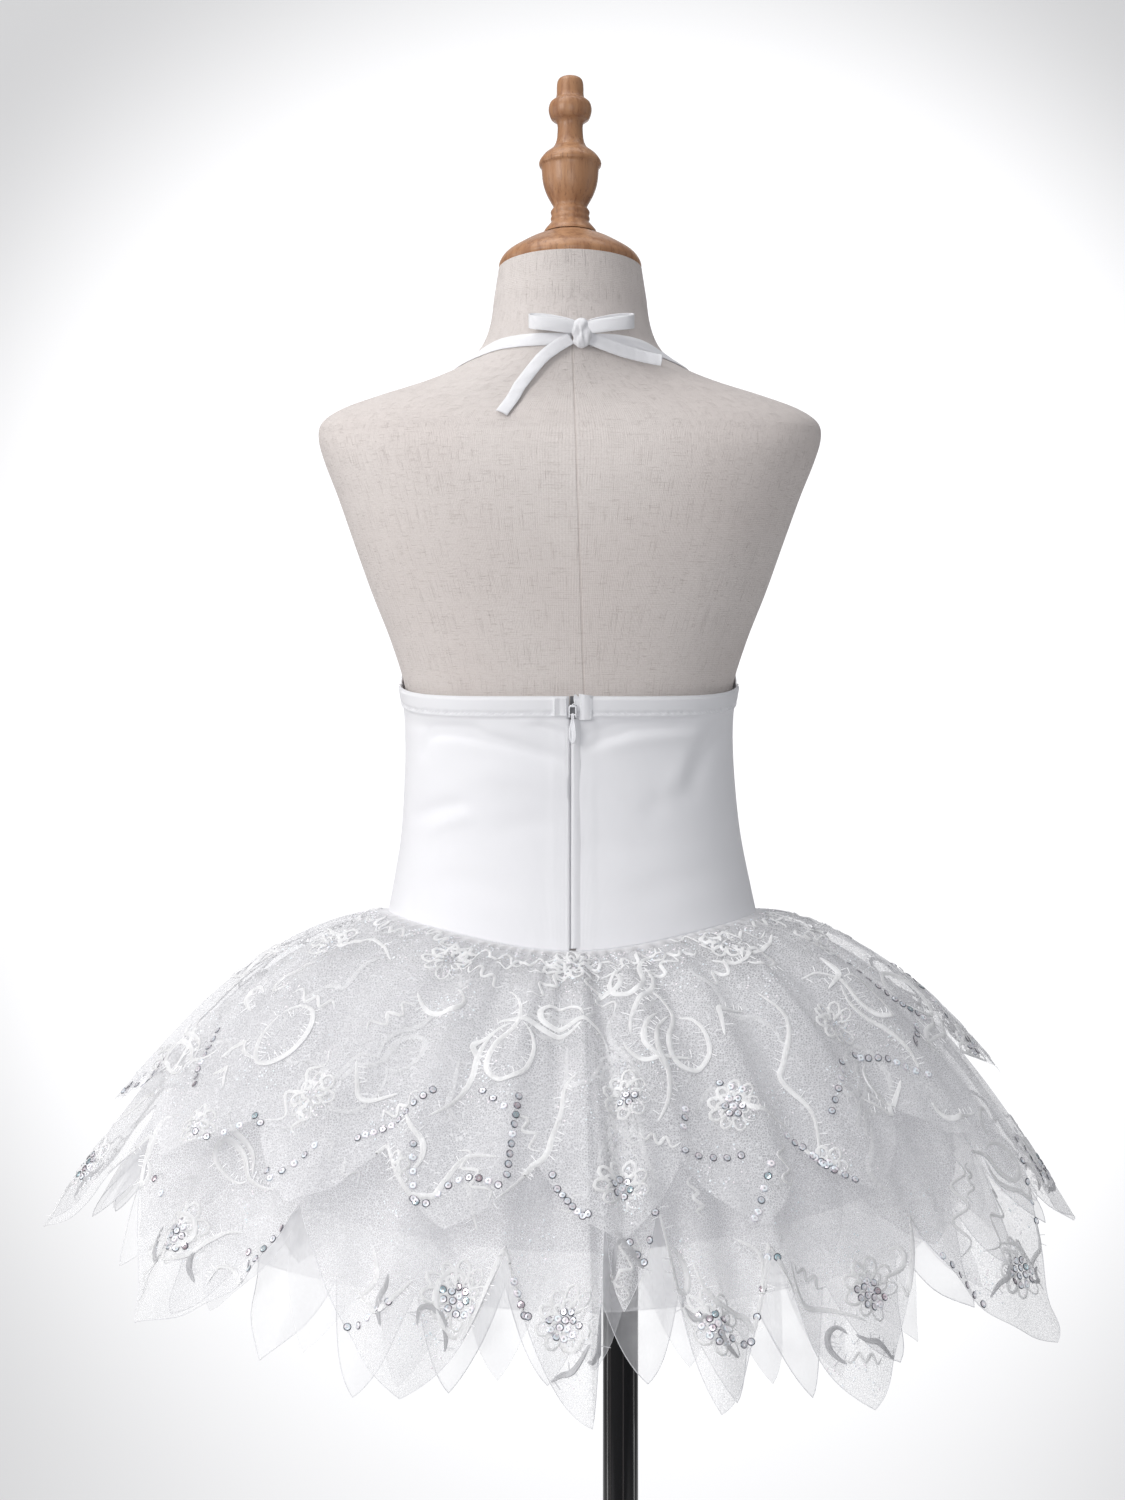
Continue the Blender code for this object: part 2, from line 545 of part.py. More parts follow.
def make_zip(tree):
    low = waist_height(90.0)
    heights = [low + (COIL_TOP - low) * step / COIL_STEPS for step in range(COIL_STEPS + 1)]
    left = [on_back(tree, COIL_HALF_WIDTH, height, COIL_LIFT) for height in heights]
    right = [on_back(tree, -COIL_HALF_WIDTH, height, COIL_LIFT) for height in heights]
    ribbon("zip_coil", right, left, COIL_THICK, "satin")

    back = on_back(tree, 0.0, SLIDER_HIGH, SLIDER_LIFT).y
    plate = back + SLIDER_PLATE
    front = back + SLIDER_DEPTH
    wide = SLIDER_HALF_WIDTH
    slot = wide - SLIDER_CHEEK
    outline = ((wide, back), (wide, front), (slot, front), (slot, plate),
               (-slot, plate), (-slot, front), (-wide, front), (-wide, back))
    extruded("zip_slider", [Vector((x, y, SLIDER_LOW)) for x, y in outline],
             Vector((0.0, 0.0, SLIDER_HIGH - SLIDER_LOW)), "enamel")

    axis = Vector((0.0, back + PULL_AXIS_DEPTH, PULL_AXIS_Z))
    half = [(across, -drop) for across, drop in PULL_OUTLINE]
    outline = half + [(-across, height) for across, height in reversed(half)]
    pull = extruded("zip_pull", [Vector((across, -PULL_THICK / 2.0, height)) for across, height in outline],
                    Vector((0.0, PULL_THICK, 0.0)), "enamel")
    pull.location = axis


# ---- skirt ------------------------------------------------------------------------------------
def skirt_point(layer, tips, angle, share):
    """A point of a layer's full surface; share runs from 0 at the seam to 1 at the tips."""
    start = waist_height(angle) - 2.0 * SEAM_GAP - layer.order * LAYER_PITCH
    start_radius, start_height = polar_point(angle, start, SKIRT_LIFT)
    tip_radius, tip_height = read_round(tips, angle)
    centre = math.sin(math.radians(angle)) ** 2
    handle = HANDLE * math.hypot(tip_radius - start_radius, tip_height - start_height)
    first = math.radians(layer.leave + layer.steeper * centre)
    last = math.radians(layer.end + layer.steeper * centre)
    run = (start_radius, start_radius + handle * math.cos(first),
           tip_radius - handle * math.cos(last), tip_radius)
    fall = (start_height, start_height - handle * math.sin(first),
            tip_height + handle * math.sin(last), tip_height)
    left = 1.0 - share
    weights = (left**3, 3 * left**2 * share, 3 * left * share**2, share**3)
    radius = sum(weight * value for weight, value in zip(weights, run))
    height = sum(weight * value for weight, value in zip(weights, fall))
    slope = first + (last - first) * share
    return radius, height, slope


def petal_columns(tips, split):
    """Angles of a layer's columns, and where each lies in its petal, from notch to notch."""
    columns = []
    for index, row in enumerate(tips):
        tip = row[0]
        before = tips[index - 1][0] - (360.0 if index == 0 else 0.0)
        after = tips[(index + 1) % len(tips)][0] + (360.0 if index == len(tips) - 1 else 0.0)
        first_notch = (before + tip) / 2.0
        last_notch = (tip + after) / 2.0
        for step in range(split):
            columns.append((first_notch + (tip - first_notch) * step / split, 0.5 * step / split))
        for step in range(split):
            columns.append((tip + (last_notch - tip) * step / split, 0.5 + 0.5 * step / split))
    return columns


def make_skirt_layer(name, tips):
    layer = LAYERS[name]
    columns = petal_columns(tips, layer.split)

    def place(column, row):
        angle, along = columns[column]
        from_tip = abs(2.0 * along - 1.0)
        leaf = LEAF_SLOPE * from_tip + (1.0 - LEAF_SLOPE) * from_tip**2
        share = (1.0 - layer.petal * leaf) * row / layer.rows
        radius, height, slope = skirt_point(layer, tips, angle, share)
        gather = math.cos(2.0 * math.pi * layer.waves * (along - 0.5))
        ridge = layer.wave * share**WAVE_GROWTH * gather
        radius += ridge * math.sin(slope)
        height += ridge * math.cos(slope)
        turn = math.radians(angle)
        return Vector((radius * math.cos(turn), radius * math.sin(turn), height))

    def downwards(column, row):
        return place((len(columns) - column) % len(columns), row)

    cloth(name, downwards, len(columns), layer.rows, NET, "lace", wrap=True)


def main():
    clear_scene()
    tree = make_form()
    make_wood()
    make_stand()
    make_back_panel(1.0, "bodice_back_left")
    make_back_panel(-1.0, "bodice_back_right")
    make_front()
    make_straps(tree)
    make_bow(tree)
    make_zip(tree)
    make_skirt_layer("overlay_upper", UPPER_TIPS)
    make_skirt_layer("overlay_lower", LOWER_TIPS)
    make_skirt_layer("organza_points", ORGANZA_TIPS)
    make_skirt_layer("skirt_net", NET_HEM)
    make_skirt_layer("skirt_lining", LINING_HEM)


main()
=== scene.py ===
"""Looks for a child's pixie-style ballet tutu on a limbless linen dress form.

Metres, +Z up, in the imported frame. The garment's back, with its zip and bow, faces +Y. Angles round
the body start at +X and pass through the centre back at 90 degrees. Sizes and tables come first, then
tools and finishes, then the pieces from the form outwards.
"""
import json
import math
import random
from collections import namedtuple
from functools import lru_cache

import bmesh
import bpy
from mathutils import Matrix, Vector
from mathutils.bvhtree import BVHTree

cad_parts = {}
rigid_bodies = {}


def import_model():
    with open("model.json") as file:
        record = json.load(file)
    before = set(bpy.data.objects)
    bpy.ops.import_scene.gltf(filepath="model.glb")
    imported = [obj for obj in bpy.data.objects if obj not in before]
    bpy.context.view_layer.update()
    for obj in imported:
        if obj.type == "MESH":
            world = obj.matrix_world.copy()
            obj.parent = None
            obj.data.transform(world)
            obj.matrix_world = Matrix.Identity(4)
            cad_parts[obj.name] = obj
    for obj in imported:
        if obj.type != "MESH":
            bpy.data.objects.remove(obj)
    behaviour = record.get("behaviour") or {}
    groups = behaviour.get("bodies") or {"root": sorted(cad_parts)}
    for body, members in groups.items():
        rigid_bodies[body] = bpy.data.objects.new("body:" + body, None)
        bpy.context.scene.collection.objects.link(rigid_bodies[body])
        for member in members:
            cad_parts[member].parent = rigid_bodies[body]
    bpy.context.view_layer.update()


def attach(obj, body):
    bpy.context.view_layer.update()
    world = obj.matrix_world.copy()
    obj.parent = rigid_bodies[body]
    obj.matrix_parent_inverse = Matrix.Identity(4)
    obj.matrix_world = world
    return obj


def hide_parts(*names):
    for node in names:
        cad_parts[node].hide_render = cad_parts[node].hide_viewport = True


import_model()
CHANCE = random.Random(7)

MM = 0.001
WELD = 1e-6
PILE_VERTS = 1500
SEAM_GAP = 0.3 * MM
GARMENT = "dress_form"           # the body that everything but the pull tab rides on

# ---- dress form, as in the part -----------------------------------------------------------------
# columns: height, half width, back depth, front depth, superellipse power, aside
FORM_SECTIONS = (
    (0.500, 0.0640, 0.0520, 0.0540, 2.0, 0.0),
    (0.505, 0.0860, 0.0690, 0.0700, 2.1, 0.0),
    (0.520, 0.1055, 0.0815, 0.0800, 2.2, 0.0),
    (0.545, 0.1150, 0.0880, 0.0860, 2.3, 0.0),
    (0.575, 0.1160, 0.0875, 0.0870, 2.3, 0.0),
    (0.600, 0.1125, 0.0835, 0.0850, 2.3, 0.0),
    (0.625, 0.1075, 0.0775, 0.0825, 2.3, 0.0002),
    (0.655, 0.1022, 0.0715, 0.0800, 2.3, 0.0008),
    (0.685, 0.0995, 0.0685, 0.0785, 2.3, 0.0015),
    (0.715, 0.0985, 0.0680, 0.0780, 2.3, 0.0019),
    (0.745, 0.1010, 0.0700, 0.0785, 2.3, 0.0021),
    (0.775, 0.1100, 0.0735, 0.0795, 2.35, 0.0021),
    (0.805, 0.1218, 0.0770, 0.0800, 2.4, 0.0021),
    (0.835, 0.1325, 0.0790, 0.0790, 2.5, 0.0021),
    (0.865, 0.1432, 0.0780, 0.0750, 2.5, 0.0019),
    (0.888, 0.1522, 0.0730, 0.0690, 2.5, 0.0017),
    (0.902, 0.1556, 0.0670, 0.0625, 2.4, 0.0015),
    (0.911, 0.1530, 0.0620, 0.0570, 2.3, 0.0014),
    (0.919, 0.1410, 0.0570, 0.0520, 2.2, 0.0013),
    (0.927, 0.1190, 0.0535, 0.0495, 2.1, 0.0012),
    (0.936, 0.0905, 0.0520, 0.0490, 2.0, 0.0012),
    (0.945, 0.0690, 0.0510, 0.0495, 2.0, 0.0012),
    (0.955, 0.0570, 0.0500, 0.0500, 2.0, 0.0012),
    (0.968, 0.0505, 0.0480, 0.0500, 2.0, 0.0012),
    (0.986, 0.0475, 0.0450, 0.0490, 2.0, 0.0012),
)
FORM_AROUND = 160
FORM_STEPS = 5                   # rows between two sections
NECK_TILT = math.radians(8.0)
NECK_TOP = 1.0060
NECK_TOP_RADIUS = 0.0445
NECK_ROWS = 4
NECK_AXIS = (0.0012, -0.003)
SEAM_TOP = 0.953                 # the linen's back seam runs down from here
SEAM_LEAN = -0.0325              # how far it drifts to the wearer's right for each metre down

# ---- wood and stand -----------------------------------------------------------------------------
TURNED_AROUND = 96
CAP_PROFILE = ((0.0, 0.0), (0.0437, 0.0), (0.0443, 0.0025), (0.0428, 0.0060), (0.0400, 0.0092),
               (0.0353, 0.0125), (0.0262, 0.0180), (0.0170, 0.0222), (0.0160, 0.0226), (0.0, 0.0226))
FINIAL_FOOT = 0.0229
FINIAL_PROFILE = ((0.0, 0.0), (0.0168, 0.0), (0.0160, 0.0022), (0.0128, 0.0062), (0.0117, 0.0078),
                  (0.0122, 0.0097), (0.0117, 0.0116), (0.0122, 0.0140), (0.0112, 0.0158),
                  (0.0105, 0.0176), (0.0125, 0.0215), (0.0146, 0.0256), (0.0165, 0.0310),
                  (0.0174, 0.0360), (0.0180, 0.0424), (0.0192, 0.0440), (0.0192, 0.0468),
                  (0.0160, 0.0513), (0.0112, 0.0552), (0.0090, 0.0590), (0.0081, 0.0640),
                  (0.0082, 0.0716), (0.0118, 0.0744), (0.0135, 0.0800), (0.0124, 0.0850),
                  (0.0088, 0.0884), (0.0083, 0.0970), (0.0070, 0.1005), (0.0036, 0.1021), (0.0, 0.1023))
PROFILE_STEPS = 3                # rows between two points of a turned profile
POLE_X = -0.030
POLE_RADIUS = 0.011
BASE_RADIUS = 0.140
BASE_THICK = 0.012
BASE_EDGE = 0.004
COLLAR_RADIUS = 0.019
COLLAR_HEIGHT = 0.016
COLLAR_EDGE = 0.002
ARC_STEPS = 5

# ---- bodice -------------------------------------------------------------------------------------
CLOTH = 0.8 * MM
CLOTH_LIFT = 3.0 * MM
LEAST_LIFT = 1.1 * MM
FRONT_LIFT = 3.0 * MM
FRONT_ROLL = 0.6 * MM
BAND_LIFT = 4.3 * MM
CREASE_GAIN = 1.85
CREASE_SPREAD = 1.3
HEM_TUCK = 1.3 * MM              # the bodice's lower edge reaches down over the skirt's seam
BAND_DEPTH = 11.0 * MM
BAND_STEP = 1.6 * MM             # soft step under the folded hem
STITCH_LINE = 1.4 * MM           # how far over the band's lower edge its stitches run
GROOVE_WIDTH = 1.2 * MM
GROOVE_DEPTH = 0.30 * MM
PUCKER_DEPTH = 0.70 * MM         # what the puckers add to the stitched groove
PUCKERS = 150.0                  # how many radians of them a band has
HEM_ROLL = 0.9 * MM              # how far the upper edge rolls in
CREASE_FADE_BAND = 4.0 * MM      # the creases fade out under the band
CREASE_FADE_WAIST = 12.0 * MM    # and over the waist seam
WAIST_SIDE = 0.610
WAIST_DIP = 0.020
BACK_TOP = 0.7395
BACK_TOP_SIDE = 0.7485
ZIP_HALF_SLOT = 1.9 * MM
SIDE_GAP = 0.25 * MM
PANEL_COLUMNS = 110
PANEL_ROWS = 120
BAND_ROWS = 22                   # how many of them are the folded hem's
FRONT_COLUMNS = 80               # on each side of the centre front
FRONT_ROWS = 100
# the halter's edge, from the side seam over the strap's corner to the centre front: x and height
HALTER_EDGE = (
    (0.1018, 0.7485), (0.1022, 0.7530), (0.1015, 0.7600), (0.0990, 0.7700), (0.0945, 0.7850),
    (0.0870, 0.8100), (0.0780, 0.8400), (0.0695, 0.8660), (0.0610, 0.8840), (0.0500, 0.8865),
    (0.0340, 0.8770), (0.0000, 0.8700),
)
# soft creases in the satin; columns: x and height of the middle, length, width and depth in
# millimetres, slant in degrees from level, turning down towards the wearer's right; depth under
# zero is a ridge
BACK_CREASES = (
    (0.0465, 0.7140, 92, 3.2, 1.3, 14), (0.0120, 0.7215, 22, 2.2, 1.0, 20),
    (0.0170, 0.7245, 30, 2.0, -0.5, 10), (0.0700, 0.7200, 34, 3.0, 0.8, -8),
    (0.0860, 0.7130, 20, 3.0, 0.6, -70), (0.0790, 0.6730, 34, 4.0, 0.7, -16),
    (0.0730, 0.6650, 30, 4.0, -0.5, -20), (0.0300, 0.6920, 60, 6.0, -0.5, 10),
    (0.0250, 0.6640, 44, 5.0, 0.3, -6), (-0.0400, 0.7225, 62, 3.4, 1.4, -4),
    (-0.0480, 0.7155, 60, 4.0, -0.6, -8), (-0.0790, 0.7090, 44, 5.0, 1.6, -58),
    (-0.0660, 0.6960, 46, 6.0, -0.7, -52), (-0.0200, 0.7150, 26, 2.6, 0.8, -22),
    (-0.0580, 0.6800, 40, 6.0, 0.5, -30), (-0.0300, 0.6500, 52, 6.0, 0.3, 12),
    (0.0560, 0.6280, 50, 6.0, 0.4, 8), (-0.0620, 0.6300, 54, 7.0, 0.4, -10),
)
FRONT_CREASES = (
    (0.0300, 0.7350, 70, 5.0, 0.9, 22), (-0.0350, 0.7280, 66, 5.0, 0.9, -18),
    (0.0620, 0.7000, 46, 4.0, 0.8, 38), (-0.0640, 0.7060, 50, 4.0, 0.8, -34),
    (0.0000, 0.6620, 80, 6.0, 0.6, 4), (0.0240, 0.8420, 40, 4.0, 0.7, 58),
    (-0.0240, 0.8460, 38, 4.0, 0.7, -60), (0.0060, 0.7800, 60, 7.0, -0.5, 10),
    (-0.0500, 0.6400, 44, 5.0, 0.4, -12), (0.0520, 0.6350, 40, 5.0, 0.4, 16),
)
ZIP_FACING_END = 14.0 * MM       # the zip's tapes show through the satin as a low step
ZIP_FACING_EDGE = 1.6 * MM
ZIP_FACING_RISE = 0.25 * MM

# ---- straps, bow and zip ------------------------------------------------------------------------
STRAP_WIDTH = 8.0 * MM
STRAP_THICK = 1.5 * MM
STRAP_LIFT = 1.9 * MM
STRAP_STEPS = 70
RIBBON_LINES = 8
RIBBON_DOME = 0.5 * MM
RIBBON_RIPPLE = 0.16 * MM
RIBBON_SINK = 1.3 * MM           # how far a ribbon's edges lie under its middle line
# the left strap, from the front to the knot; the right one mirrors it
STRAP_ROUTE = (
    (0.0560, -0.0690, 0.8890), (0.0615, -0.0600, 0.9130), (0.0680, -0.0400, 0.9330),
    (0.0710, -0.0170, 0.9430), (0.0690, 0.0020, 0.9470), (0.0600, 0.0180, 0.9515),
    (0.0480, 0.0310, 0.9550), (0.0280, 0.0450, 0.9565), (0.0080, 0.0520, 0.9560),
)
KNOT_CENTRE = (-0.0050, 0.9585)
KNOT_RADII = (0.0066, 0.0042, 0.0092)
KNOT_LIFT = 5.4 * MM
LOOP_STEPS = 64
LOOP_WIDTH = 8.4 * MM
# a loop's way out from the knot and back; columns: out, proud of the back, rise
LOOP_PATH = (
    (0.0040, 0.0014, 0.0034), (0.0110, 0.0036, 0.0040), (0.0200, 0.0050, 0.0052),
    (0.0285, 0.0042, 0.0064), (0.0320, 0.0006, 0.0078), (0.0290, -0.0026, 0.0088),
    (0.0200, -0.0028, 0.0080), (0.0120, -0.0018, 0.0062), (0.0040, -0.0014, 0.0045),
)
LOOP_SAG = 0.0050
TAIL_STEPS = 44
# columns: x, height and lift off the linen
TAIL_LEFT = ((0.0010, 0.9560, 0.0046), (0.0105, 0.9500, 0.0048), (0.0190, 0.9425, 0.0048),
             (0.0310, 0.9275, 0.0036), (0.0355, 0.9195, 0.0030), (0.0425, 0.9095, 0.0026))
TAIL_RIGHT = ((-0.0080, 0.9562, 0.0058), (-0.0200, 0.9512, 0.0056), (-0.0300, 0.9470, 0.0060),
              (-0.0420, 0.9425, 0.0068), (-0.0515, 0.9390, 0.0084))

COIL_TOP = 0.7262
COIL_PITCH = 1.3 * MM
COIL_LIFT = 1.9 * MM
COIL_X = 0.9 * MM
COIL_WIRE = 0.36 * MM
COIL_INNER = 0.15 * MM           # each turn of the coil runs from here to there, beside its middle
COIL_OUTER = 1.3 * MM
COIL_LEAN = 0.35 * MM
COIL_SINK = 0.3 * MM
# the tape under the coil, and the tape behind the slider, painted dark grey as shade; columns: x and lift
# in millimetres
COIL_TAPE = ((-2.6, 1.2), (0.0, 1.3), (2.9, 1.2))
HEAD_TAPE = ((-3.9, 0.5), (-1.5, 0.6), (1.4, 0.5))
HEAD_TAPE_TOP = 0.7402
CURL_X = -2.1                    # in millimetres
CURL_FOOT = 0.7352               # the tape's curled end stands up from here
CURL_LENGTH = 6.4 * MM
CURL_ROWS = 12
SLIDER_LOW = 0.7268
SLIDER_HIGH = 0.7350
SLIDER_LIFT = 3.6 * MM
SLIDER_HALF_WIDTH = 2.5 * MM
SLIDER_PLATE = 1.3 * MM
SLIDER_DEPTH = 3.4 * MM
CHEEK = 0.85 * MM
PULL_AXIS_Z = 0.7290
PULL_AXIS_DEPTH = 2.6 * MM
PULL_THICK = 0.9 * MM
PIN_RADIUS = 0.42 * MM
PIN_HALF_LENGTH = 1.8 * MM
# the pull tab's outline, right half, from its eye down; columns: across and drop under the axis
PULL_OUTLINE = (
    (0.0000, -0.00095), (0.0006, -0.00075), (0.00095, 0.0000), (0.00098, 0.0015), (0.00105, 0.0030),
    (0.00150, 0.0055), (0.00212, 0.0090), (0.00230, 0.0120), (0.00200, 0.0148), (0.00120, 0.0166),
    (0.00055, 0.0172), (0.0000, 0.0174),
)
PULL_MIDDLE = 0.0085
# rows of the tab from its back to its front; columns: share of the outline, share of the thickness
PULL_ROWS = ((0.0, -0.5), (0.86, -0.5), (0.96, -0.36), (1.0, 0.0), (0.96, 0.36), (0.87, 0.5), (0.66, 0.5),
             (0.58, 0.36), (0.0, 0.34))
# folded edges of the satin beside the zip, and the stitched facings over the band's ends;
# columns: x in millimetres and lift off the linen in millimetres
LIP_RIGHT = ((-4.4, 3.25), (-3.2, 3.6), (-1.9, 4.0), (-0.7, 4.1), (0.3, 3.8), (0.85, 3.1), (0.95, 2.2),
             (0.6, 1.4))
LIP_LEFT = ((1.50, 1.4), (1.50, 2.5), (1.9, 3.2), (2.6, 3.5), (3.4, 3.45), (4.2, 3.25))
FACING_LEFT = ((2.7, 3.4), (3.2, 5.0), (4.6, 5.5), (6.6, 4.9), (7.6, 4.3), (8.8, 5.0), (10.6, 5.1),
               (11.6, 4.6), (11.9, 3.6))
FACING_RIGHT = ((-11.9, 3.6), (-11.0, 4.9), (-9.2, 5.7), (-7.0, 6.1), (-5.0, 6.0), (-4.0, 5.2), (-3.7, 3.4))
FACING_LEFT_ENDS = (0.7286, 0.7394)
FACING_RIGHT_ENDS = (0.7262, 0.7408)
# the stitched frames on the facings; columns: x and lift in millimetres, height in metres
FRAME_LEFT = ((4.0, 5.5, 0.7292), (4.0, 5.5, 0.7388), (10.6, 5.2, 0.7388), (10.6, 5.2, 0.7292))
FRAME_RIGHT = ((-5.0, 6.1, 0.7274), (-5.0, 6.1, 0.7398), (-10.8, 5.1, 0.7392), (-10.8, 5.1, 0.7274))
# a loop of thread over the zip's head; columns: x in millimetres, height in metres, lift in millimetres
HEAD_THREAD = ((2.1, 0.7331, 5.0), (0.6, 0.7352, 7.6), (-1.0, 0.7362, 7.0), (-1.9, 0.7350, 5.2))
RUNNING_PITCH = 1.9 * MM
STITCH_RADIUS = 0.28 * MM
STITCH_DEPTH = 0.45 * MM
ZIGZAG_LENGTH = 2.2 * MM
ZIGZAG_GAP = 0.9 * MM
ZIGZAG_RISE = 1.3 * MM
ZIGZAG_FOOT = 0.5 * MM           # over the band's lower edge
ZIGZAG_END = 12.5 * MM           # the zigzag stops this far from the middle, at the facings

# ---- skirt, as in the part ----------------------------------------------------------------------
SKIRT_LIFT = 2.0 * MM
LAYER_PITCH = 2.5 * MM
# the petals' tips and the hems; columns: angle in degrees, reach and height in metres
LOWER_TIPS = (
    (4.0, 0.320, 0.413), (31.6, 0.288, 0.379), (69.0, 0.259, 0.356), (92.2, 0.257, 0.343),
    (96.6, 0.236, 0.402), (108.0, 0.256, 0.348), (128.7, 0.2635, 0.342), (155.7, 0.304, 0.363),
    (187.0, 0.316, 0.408), (213.0, 0.288, 0.374), (239.0, 0.262, 0.352), (264.0, 0.256, 0.345),
    (289.0, 0.258, 0.350), (313.0, 0.272, 0.356), (339.0, 0.298, 0.386),
)
UPPER_TIPS = (
    (0.0, 0.281, 0.489), (29.0, 0.270, 0.474), (51.0, 0.252, 0.456), (73.0, 0.240, 0.446),
    (96.0, 0.235, 0.441), (116.5, 0.238, 0.446), (134.0, 0.246, 0.459), (155.0, 0.258, 0.482),
    (180.0, 0.266, 0.5065), (205.0, 0.264, 0.486), (230.0, 0.248, 0.460), (254.0, 0.238, 0.446),
    (278.0, 0.236, 0.443), (303.0, 0.246, 0.452), (330.0, 0.266, 0.474),
)
ORGANZA_TIPS = (
    (5.0, 0.292, 0.421), (18.5, 0.280, 0.402), (31.8, 0.266, 0.382), (46.5, 0.252, 0.365),
    (60.0, 0.241, 0.3500), (73.3, 0.235, 0.356), (86.5, 0.230, 0.361), (100.0, 0.230, 0.361),
    (112.5, 0.231, 0.348), (123.5, 0.236, 0.347), (136.5, 0.249, 0.361), (149.0, 0.264, 0.385),
    (161.0, 0.272, 0.402), (172.5, 0.287, 0.419), (186.0, 0.291, 0.422), (199.0, 0.279, 0.403),
    (212.0, 0.262, 0.384), (225.0, 0.248, 0.366), (238.0, 0.238, 0.355), (251.0, 0.232, 0.358),
    (264.0, 0.230, 0.352), (277.0, 0.230, 0.362), (290.0, 0.233, 0.353), (303.0, 0.240, 0.362),
    (316.0, 0.251, 0.370), (329.0, 0.264, 0.386), (341.5, 0.277, 0.405), (353.0, 0.288, 0.415),
)
NET_HEM = (
    (0.0, 0.236, 0.428), (30.0, 0.222, 0.412), (60.0, 0.194, 0.400), (90.0, 0.191, 0.394),
    (120.0, 0.187, 0.397), (150.0, 0.220, 0.412), (180.0, 0.238, 0.430), (210.0, 0.222, 0.413),
    (240.0, 0.196, 0.402), (270.0, 0.190, 0.396), (300.0, 0.196, 0.402), (330.0, 0.222, 0.413),
)
LINING_HEM = (
    (0.0, 0.203, 0.448), (60.0, 0.168, 0.428), (90.0, 0.165, 0.4235), (120.0, 0.162, 0.427),
    (180.0, 0.203, 0.448), (240.0, 0.168, 0.428), (270.0, 0.165, 0.425), (300.0, 0.168, 0.428),
)
# the organza's second ply has its points in the gaps of the first, a little shorter
UNDER_TIPS = tuple((angle + 6.4, reach - 0.005, height + 0.007) for angle, reach, height in ORGANZA_TIPS)
Layer = namedtuple("Layer", "tips order leave end steeper petal waves wave split rows")
LAYERS = {
    "organza_under": Layer(UNDER_TIPS, 2.45, 23.0, 64.0, 12.0, 0.22, 1, 3.0 * MM, 8, 40),
    "overlay_upper": Layer(UPPER_TIPS, 0, 5.0, 52.0, 12.0, 0.20, 1, 2.2 * MM, 20, 46),
    "overlay_lower": Layer(LOWER_TIPS, 1, 14.0, 60.0, 12.0, 0.30, 2, 4.0 * MM, 22, 48),
    "organza_points": Layer(ORGANZA_TIPS, 2, 19.0, 62.0, 12.0, 0.20, 1, 4.2 * MM, 10, 46),
    "skirt_net": Layer(NET_HEM, 3, 27.0, 66.0, 12.0, 0.0, 2, 2.8 * MM, 18, 34),
    "skirt_lining": Layer(LINING_HEM, 4, 37.0, 68.0, 10.0, 0.0, 2, 2.0 * MM, 22, 30),
}
HANDLE = 0.36                    # how long a profile's curve keeps its first and last direction
LEAF_SLOPE = 0.45                # how straight a petal's sides run up from its tip
WAVE_GROWTH = 1.35               # how late the petals' waves open out
# soft folds that run down through all the layers; columns: angle and half width in degrees, depth
# in millimetres, and where the fold starts and ends as a share of the profile; a ridge is over zero
FOLDS = (
    (6, 2.6, -2.6, .05, .80), (14, 2.2, 2.0, .10, .90), (23, 3.0, -2.8, .03, .70),
    (33, 2.4, 2.4, .06, .95), (42, 2.8, -3.0, .04, .85), (50, 2.0, 2.4, .10, .80),
    (58, 2.6, -2.4, .02, .70), (65, 2.0, 3.0, .05, .95), (72, 2.2, -3.2, .03, .75),
    (80, 2.0, 2.4, .04, .90), (87, 1.8, -2.2, .08, .65), (92, 1.8, 3.2, .02, .90),
    (97, 1.6, -3.8, .03, .95), (105, 2.4, 2.4, .05, .70), (113, 2.2, -3.0, .03, .85),
    (120, 2.0, 2.8, .05, .95), (127, 2.6, -2.6, .04, .75), (136, 2.2, 2.4, .03, .90),
    (144, 2.8, -3.0, .05, .80), (153, 2.4, 2.6, .05, .85), (162, 3.0, -2.6, .03, .75),
    (171, 2.4, 2.2, .08, .90), (181, 2.8, -2.8, .04, .80), (192, 2.4, 2.4, .05, .90),
    (203, 2.8, -2.6, .03, .70), (214, 2.4, 2.8, .05, .95), (224, 2.4, -3.0, .04, .80),
    (233, 2.2, 2.2, .08, .75), (243, 2.4, -2.8, .03, .90), (252, 2.0, 3.0, .05, .85),
    (260, 2.2, -3.2, .03, .70), (268, 2.0, 2.6, .04, .95), (276, 2.0, -2.4, .06, .80),
    (285, 2.4, 2.8, .03, .90), (294, 2.2, -3.0, .04, .75), (303, 2.4, 2.4, .05, .85),
    (313, 2.6, -2.6, .03, .95), (322, 2.2, 2.6, .06, .80), (332, 2.8, -2.8, .04, .85),
    (342, 2.4, 2.2, .05, .90), (352, 2.6, -2.0, .05, .75),
)
LAYER_SLOTS = {
    "overlay_upper": "embroidered_net", "overlay_lower": "embroidered_net", "organza_points": "organza",
    "organza_under": "organza", "skirt_net": "hex_net", "skirt_lining": "lining",
}
FOLD_GAIN = 1.35
FOLD_IN = 0.22                   # over this share a fold comes in, and these are for how it goes out
FOLD_OUT = (0.12, -0.10)
FINE_WAVES = 1.7 * MM            # small uneven waves that open out towards the hems
FINE_COUNT = 47.0
GATHERS = 84                     # small gathers round the waist seam
SEAM_DENSE = 0.085               # share of the skirt's length over which the gathers thin out
GATHER_DEPTH = 0.85 * MM
GATHER_END = 0.44

